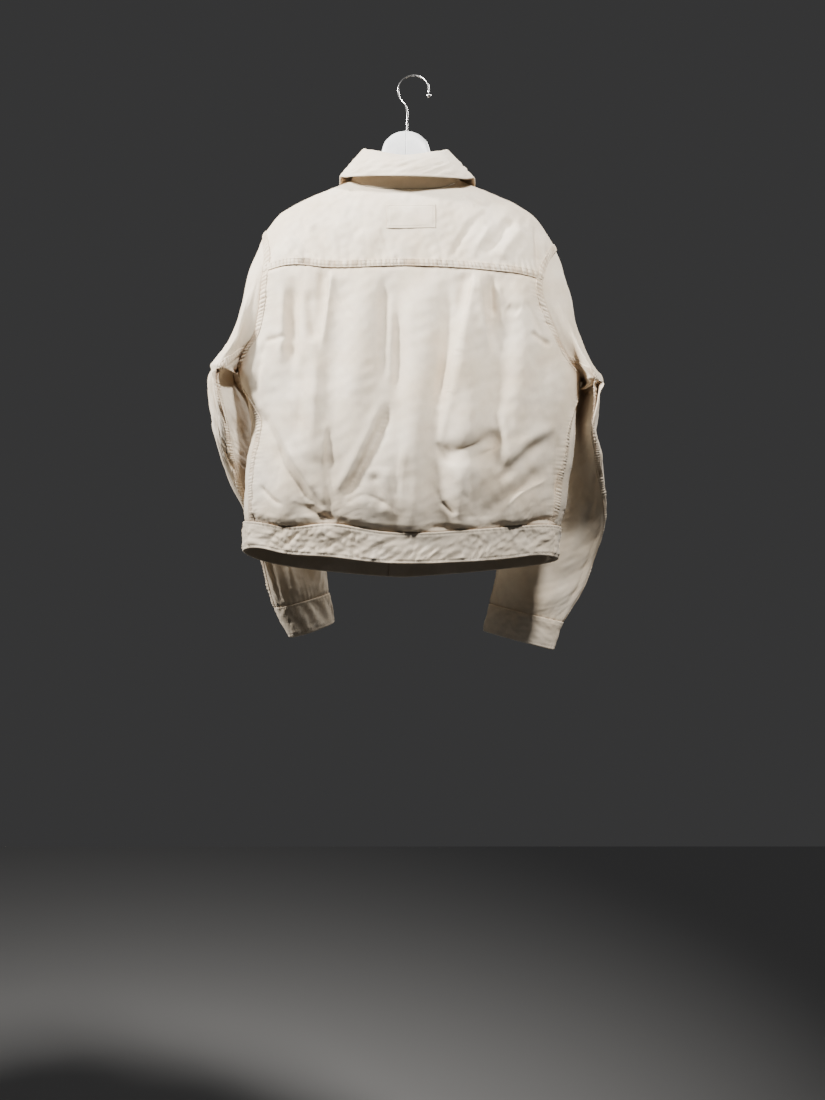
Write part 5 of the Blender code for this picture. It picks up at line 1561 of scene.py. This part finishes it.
def make_fall(material, stitches):
    """Collar fall: it rises from the stand, rolls over and falls outside it."""
    angle, neck = collar_foot()
    fold = collar_line("fold", angle)
    edge = collar_line("edge", angle)
    out = collar_outward(angle)
    radius = COLLAR_CLOTH + FOLD_GAP / 2
    up = np.array([0.0, 0.0, 1.0])
    centre = fold + out * FOLD_GAP / 2 - up * radius
    length = np.linalg.norm(fold - neck, axis=-1, keepdims=True)
    foot = blend(neck, fold, STAND_SHARE + GAP / length) - out * COLLAR_CLOTH
    path = [foot, blend(foot, centre - out * radius, 0.5)]
    for turn in np.radians([180, 150, 120, 90, 60, 30]):
        path.append(centre + radius * (out * math.cos(turn) + up * math.sin(turn)))
    shoulder = path[-1]
    for share in (0.12, 0.25, 0.4, 0.55, 0.7, 0.85, 1.0):
        bulge = 0.0055 * math.sin(math.pi * share) * np.clip(np.sin(angle), 0, 1)[:, None] ** 2
        path.append(blend(shoulder, edge, share) + (out + up) * bulge)
    rough = np.stack(path, axis=0)
    keys = run_along(rough, 0).mean(axis=1)
    base = spline(keys, rough, np.linspace(0, keys[-1], COLLAR_ROWS["fall"])).transpose(1, 0, 2)
    normals = grid_normals(base, base - centre[:, None] + up * 0.001)
    across, _, down, low = margins(base)
    height = 0.0008 * soft_waves(across, down * 0.6, 0.03, 181)
    height += 0.0012 * crumples(across, down, 0.026, 182) - 0.0004
    height *= ease((0.042 - low) / 0.012) * ease(low / 0.006)
    height += 0.0006 * bell(low - 0.006, 0.006) * ripples(across, 0.011, 183)
    height -= 0.0003 * bell(low - 0.006, 0.001)
    outer, outward = raised(base, normals, height)
    inner = base - normals * COLLAR_CLOTH
    piece = wall_piece("cloth_collar_fall", "collar_fall", outer, inner, outward, material)
    stitches.rows(outer, outward, "r1", (0.0062,), 0.006, 0.006)
    for end in ("c0", "c1"):
        stitches.rows(outer, outward, end, (0.006,), 0.03, 0.006)


# ---------------------------------------------------------------- buttons, hanger and hook


def round_angles(count):
    """Even angles once round."""
    return 2 * math.pi * np.arange(count) / count


def rings_piece(name, rings, material):
    """A closed solid over rings of points, of which the first and the last meet in a point."""
    vertices = rings.reshape(-1, 3)
    index = np.arange(len(vertices)).reshape(rings.shape[:2])
    following = np.roll(index, -1, axis=1)
    faces = np.stack([index[:-1], following[:-1], following[1:], index[1:]], axis=-1)
    piece = build_mesh(name, vertices, faces.reshape(-1, 4), material)
    close_poles(piece)
    return piece


def tube_piece(name, rings, material):
    """A closed solid over rings of points, with a flat end on the first and the last ring."""
    first, last = (np.broadcast_to(ring.mean(axis=0), rings[:1].shape) for ring in rings[[0, -1]])
    return rings_piece(name, np.concatenate([first, rings, last]), material)


def close_poles(piece):
    """Merge the points that meet at a pole, and turn every face outward."""
    shape = bmesh.new()
    shape.from_mesh(piece.data)
    bmesh.ops.remove_doubles(shape, verts=shape.verts, dist=1e-7)
    bmesh.ops.recalc_face_normals(shape, faces=shape.faces)
    shape.to_mesh(piece.data)
    shape.free()


def make_button(name, node, centre, normal, material, thread):
    """A turned button: a dished disc with a rim and four holes, sewn on with crossed threads."""
    normal = unit(np.asarray(normal))
    side = unit(np.cross(normal, [0.0, 0.0, 1.0]))
    up = np.cross(side, normal)
    turn = round_angles(ROUND_POINTS["button"])
    profile = np.array(BUTTON_PROFILE)
    radius = profile[:, 0][:, None]
    level_x = radius * np.cos(turn)
    level_y = radius * np.sin(turn)
    height = profile[:, 1][:, None] + 0 * level_x
    holes = 0.0
    for place in math.pi / 4 + math.pi / 2 * np.arange(4):
        gap = np.hypot(level_x - 0.26 * math.cos(place), level_y - 0.26 * math.sin(place))
        holes = holes + np.exp(-((gap / 0.09) ** 4))
    height = height - 0.42 * holes * (height > 0.5)
    points = centre + (side * level_x[..., None] + up * level_y[..., None]) * BUTTON_RADIUS
    points = points + normal * (GAP + height[..., None] * BUTTON_HEIGHT)
    piece = rings_piece(name, points, material)
    finish_piece(piece, [node])
    bars = Stitching()
    top = centre + normal * (GAP + 0.66 * BUTTON_HEIGHT)
    for lean in (math.pi / 4, -math.pi / 4):
        along_bar = side * math.cos(lean) + up * math.sin(lean)
        across_bar = np.cross(normal, along_bar)
        for shift in (-0.05, 0.05):
            middle = top + across_bar * shift * BUTTON_RADIUS
            bars.starts.append((middle - along_bar * 0.3 * BUTTON_RADIUS)[None])
            bars.ends.append((middle + along_bar * 0.3 * BUTTON_RADIUS)[None])
            bars.normals.append(normal[None])
    sewn = bars.piece(name + "_thread", thread)


def make_buttons(material, thread):
    """Buttons down the placket, on the waistband and on each cuff."""
    middle = -math.pi / 2
    top = float(neck_z(0.0, False)) - BELOW_NECK
    low = float(waist("seam", middle)) + ABOVE_BAND
    places = []
    for number in range(FRONT_BUTTONS):
        z = blend(top, low, number / (FRONT_BUTTONS - 1))
        places.append((f"front_{number + 1}", z, PLACKET_LIFT))
    z = float(waist("seam", middle) + waist("hem", middle)) / 2
    places.append(("waistband", z, BAND_PROUD + BAND_CLOTH + 1.5 * GAP))
    for name, z, lift in places:
        angle = np.array([middle])
        level = np.array([z])
        normal = body_normals(angle, level)[0]
        centre = body_points(angle, level)[0] + normal * (lift + 0.0006)
        make_button("resin_button_" + name, "button_" + name, centre, normal, material, thread)
    for side in SIDES:
        first = SLEEVE_ENDS[side]
        angle = np.radians(CUFF_BUTTON_ANGLE + np.array([-1.0, 0.0, 1.0]))
        outer, inside = sleeve_points(side, angle, first, first + 1, 3)
        normal = grid_normals(outer, outer - inside)[1, 1]
        name = "cuff_" + side
        centre = outer[1, 1] + normal * 0.0012
        make_button("resin_button_" + name, "button_" + name, centre, normal, material, thread)


def make_hanger(material):
    """Two moulded halves that meet in a joint at the neck, rounded along the shoulders."""
    turn = round_angles(ROUND_POINTS["hanger"])
    end = float(HANGER["x"][-1])
    for side, sign in SIDES.items():
        even = np.linspace(0.0016, end, HANGER_SECTIONS)
        x = np.concatenate([GAP / 2 + 0.0012 * shares(6) ** 2, even])
        x = np.append(x, end + 0.002 * np.sin(shares(6)[1:] * math.pi / 2) - 0.002)
        x = np.sort(np.minimum(x, end))
        columns = ("top", "bottom", "half_depth")
        top, bottom, depth = (along(HANGER, name, x, "x") for name in columns)
        joint = 0.0007 * np.clip(1 - (x - GAP / 2) / 0.0012, 0, 1) ** 2
        last = np.sqrt(np.clip((end - x) / 0.004, 0, 1))
        height = ((top - bottom) / 2 - joint) * blend(0.3, 1.0, last)
        depth = (depth - joint) * blend(0.3, 1.0, last)
        y = depth[:, None] * signed_power(np.sin(turn), 0.9)
        z = ((top + bottom) / 2)[:, None] + height[:, None] * signed_power(np.cos(turn), 0.9)
        world_x = HANGER_X + sign * x[:, None] + 0 * y
        rings = np.stack([world_x, y, z], axis=-1)
        piece = tube_piece("plastic_hanger_" + side, rings, material)
        finish_piece(piece, ["hanger_" + side])


def make_hook(material):
    """Steel wire hook, round all along, with a ball on its end."""
    dome = float(along(HANGER, "top", abs(SHANK_X - HANGER_X), "x"))
    line = [(SHANK_X, dome - 0.004), (SHANK_X, dome + 0.012), (SHANK_X, SHANK_TOP_Z)]
    line += [(SHANK_X + 0.0035, SHANK_TOP_Z + 0.01), (SHANK_X + 0.0105, SHANK_TOP_Z + 0.0185)]
    turn = np.radians(np.arange(-12.0, 189.0, 10.0))
    line += list(zip(HOOK_RADIUS * np.cos(turn), HOOK_Z + HOOK_RADIUS * np.sin(turn)))
    line = np.array(line)
    keys = run_along(line, 0)
    path = spline(keys, line, np.linspace(0, keys[-1], HOOK_SECTIONS))
    path = np.stack([path[:, 0], 0 * path[:, 0], path[:, 1]], axis=-1)
    heading = unit(np.gradient(path, axis=0))
    level = np.array([0.0, 1.0, 0.0])
    side = np.cross(heading, level)[:, None]
    turns = round_angles(ROUND_POINTS["wire"])[None, :, None]
    rings = path[:, None] + WIRE / 2 * (side * np.cos(turns) + level * np.sin(turns))
    piece = tube_piece("steel_hook", rings, material)
    finish_piece(piece, ["hook"])
    low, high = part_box("hook_ball")
    centre = (np.array(low) + np.array(high)) / 2
    tilt = shares(BALL_ROWS)[1:-1, None] * math.pi
    around = round_angles(ROUND_POINTS["ball"])
    wide = np.sin(tilt)
    parts = [wide * np.cos(around), wide * np.sin(around), np.cos(tilt) + 0 * around]
    ball = tube_piece("steel_hook_ball", centre + BALL_RADIUS * np.stack(parts, axis=-1), material)
    finish_piece(ball, ["hook_ball"])


# ---------------------------------------------------------------- materials

# Linear colours.
DRILL_DARK = (0.715, 0.602, 0.455)
DRILL_LIGHT = (0.86, 0.772, 0.64)
# Brown of the shade painted into the valleys of the puckers.
PUCKER_SHADE_BROWN = (0.46, 0.34, 0.23)
# Brown of the shade painted into hollows and crevices.
HOLLOW_SHADE_BROWN = (0.5, 0.37, 0.25)
# Painted shade in hollows: how open the air round a point is, and how brown the cloth is painted
# for that.
HOLLOW_SHADING = {"From Min": 0.25, "From Max": 0.95, "To Min": 0.72, "To Max": 0.0}


def node(tree, kind, place, **values):
    """A shader node with its inputs and settings given by name."""
    added = tree.nodes.new(kind)
    added.location = place
    for name, value in values.items():
        if name in added.inputs:
            added.inputs[name].default_value = value
        else:
            setattr(added, name, value)
    return added


def link(source, output, target, value):
    """Joins a node's output to a node's input."""
    source.id_data.links.new(source.outputs[output], target.inputs[value])


def tone_ramp(tree, place, *stops):
    """A ramp between two colours, each given with its position."""
    ramp = node(tree, "ShaderNodeValToRGB", place)
    for element, (position, colour) in zip(ramp.color_ramp.elements, stops):
        element.position = position
        element.color = (*colour, 1.0)
    return ramp


def multiplied(tree, place, **values):
    """A colour mix that multiplies."""
    return node(tree, "ShaderNodeMix", place, data_type="RGBA", blend_type="MULTIPLY", **values)


def drill_material():
    """Ecru cotton drill: a fine diagonal twill, slubs and soft mottling in its colour, with shade
    painted brown into pucker valleys and hollows.
    """
    material = plain_material("ecru_drill", (0.78, 0.72, 0.62), 0.88)
    tree = material.node_tree
    shader = tree.nodes["Principled BSDF"]
    shader.inputs["Sheen Weight"].default_value = 0.22
    shader.inputs["Sheen Roughness"].default_value = 0.55
    shader.inputs["Sheen Tint"].default_value = (1.0, 0.96, 0.9, 1.0)
    shader.inputs["Specular IOR Level"].default_value = 0.25
    place = node(tree, "ShaderNodeTexCoord", (-1400, 0))
    broad = node(tree, "ShaderNodeTexNoise", (-1000, 300), Scale=11.0, Detail=4.0, Roughness=0.6)
    fine = node(tree, "ShaderNodeTexNoise", (-1000, 60), Scale=95.0, Detail=3.0, Roughness=0.6)
    link(place, "Object", broad, "Vector")
    link(place, "Object", fine, "Vector")
    tone = tone_ramp(tree, (-760, 300), (0.32, DRILL_DARK), (0.68, DRILL_LIGHT))
    link(broad, "Fac", tone, "Fac")
    fleck = multiplied(tree, (-480, 220), Factor=0.16)
    link(tone, "Color", fleck, "A")
    link(fine, "Fac", fleck, "B")
    turned = node(tree, "ShaderNodeMapping", (-1180, -260), vector_type="POINT")
    turned.inputs["Rotation"].default_value = (0.0, 0.0, math.radians(58))
    link(place, "UV", turned, "Vector")
    twill = node(tree, "ShaderNodeTexWave", (-960, -260), Scale=380.0, Distortion=1.2, Detail=1.0)
    twill.inputs["Detail Scale"].default_value = 3.0
    link(turned, "Vector", twill, "Vector")
    yarn = node(tree, "ShaderNodeTexNoise", (-960, -520), Scale=900.0, Detail=2.0)
    link(place, "UV", yarn, "Vector")
    weave = node(tree, "ShaderNodeBump", (-480, -260), Strength=0.3, Distance=0.0003)
    link(twill, "Fac", weave, "Height")
    slub = node(tree, "ShaderNodeBump", (-240, -300), Strength=0.25, Distance=0.0003)
    link(yarn, "Fac", slub, "Height")
    link(weave, "Normal", slub, "Normal")
    # Painted shade: the cloth darkens to brown in the valleys of the puckers.
    valley = node(tree, "ShaderNodeAttribute", (-760, 560), attribute_name="valley")
    deep = node(tree, "ShaderNodeMath", (-520, 560), operation="MULTIPLY")
    link(valley, "Fac", deep, 0)
    deep.inputs[1].default_value = 0.65
    pucker_shade = multiplied(tree, (-240, 300))
    pucker_shade.inputs["B"].default_value = (*PUCKER_SHADE_BROWN, 1.0)
    link(deep, "Value", pucker_shade, "Factor")
    link(fleck, "Result", pucker_shade, "A")
    # Painted shade: the cloth darkens to brown where little open air is round it, in hollows and
    # under other parts.
    open_air = node(tree, "ShaderNodeAmbientOcclusion", (-760, 820), samples=8, Distance=0.022)
    shut = node(tree, "ShaderNodeMapRange", (-520, 820))
    link(open_air, "AO", shut, "Value")
    for socket, value in HOLLOW_SHADING.items():
        shut.inputs[socket].default_value = value
    hollow_shade = multiplied(tree, (-60, 420))
    hollow_shade.inputs["B"].default_value = (*HOLLOW_SHADE_BROWN, 1.0)
    link(shut, "Result", hollow_shade, "Factor")
    link(pucker_shade, "Result", hollow_shade, "A")
    link(hollow_shade, "Result", shader, "Base Color")
    link(slub, "Normal", shader, "Normal")
    return material


def mottled_material(name, dark, light, scale, roughness, metallic=0.0, bump=0.0):
    """A material whose colour drifts between two tones, with a fine grain in its surface."""
    material = plain_material(name, dark, roughness, metallic)
    tree = material.node_tree
    shader = tree.nodes["Principled BSDF"]
    place = node(tree, "ShaderNodeTexCoord", (-1100, 0))
    drift = node(tree, "ShaderNodeTexNoise", (-880, 120), Scale=scale, Detail=5.0, Roughness=0.6)
    link(place, "Object", drift, "Vector")
    tone = tone_ramp(tree, (-640, 120), (0.3, dark), (0.72, light))
    link(drift, "Fac", tone, "Fac")
    link(tone, "Color", shader, "Base Color")
    if bump:
        grain = node(tree, "ShaderNodeTexNoise", (-880, -160), Scale=scale * 14, Detail=3.0)
        link(place, "Object", grain, "Vector")
        relief = node(tree, "ShaderNodeBump", (-400, -160), Strength=0.3, Distance=bump)
        link(grain, "Fac", relief, "Height")
        link(relief, "Normal", shader, "Normal")
    return material


def main():
    """Camera and studio first, then the jacket piece by piece."""
    make_camera()
    make_studio()
    drill = drill_material()
    thread = mottled_material("ecru_thread", (0.74, 0.67, 0.55), (0.84, 0.78, 0.68), 60.0, 0.8)
    resin = mottled_material("cream_resin", (0.66, 0.58, 0.45), (0.8, 0.74, 0.62), 140.0, 0.32)
    plastic = mottled_material(
        "white_plastic", (0.66, 0.68, 0.7), (0.8, 0.81, 0.82), 45.0, 0.42, 0.0, 0.0002
    )
    steel = mottled_material(
        "bright_steel", (0.52, 0.52, 0.52), (0.66, 0.66, 0.66), 90.0, 0.22, 1.0, 0.0001
    )
    make_hanger(plastic)
    make_hook(steel)
    body = Stitching()
    bands = Stitching()
    arms = Stitching()
    make_yoke(drill, body)
    make_back(drill, body)
    make_patch(drill, body)
    make_fronts(drill, body)
    make_placket(drill, bands)
    make_waistband(drill, bands)
    make_sleeves(drill, arms)
    make_cuffs(drill, arms)
    make_stand(drill, bands)
    make_fall(drill, bands)
    body.piece("stitching_body", thread)
    body.strips_piece("felled_seams_body", drill)
    bands.piece("stitching_bands", thread)
    arms.piece("stitching_sleeves", thread)
    arms.strips_piece("felled_seams_sleeves", drill)
    make_buttons(resin, thread)


main()
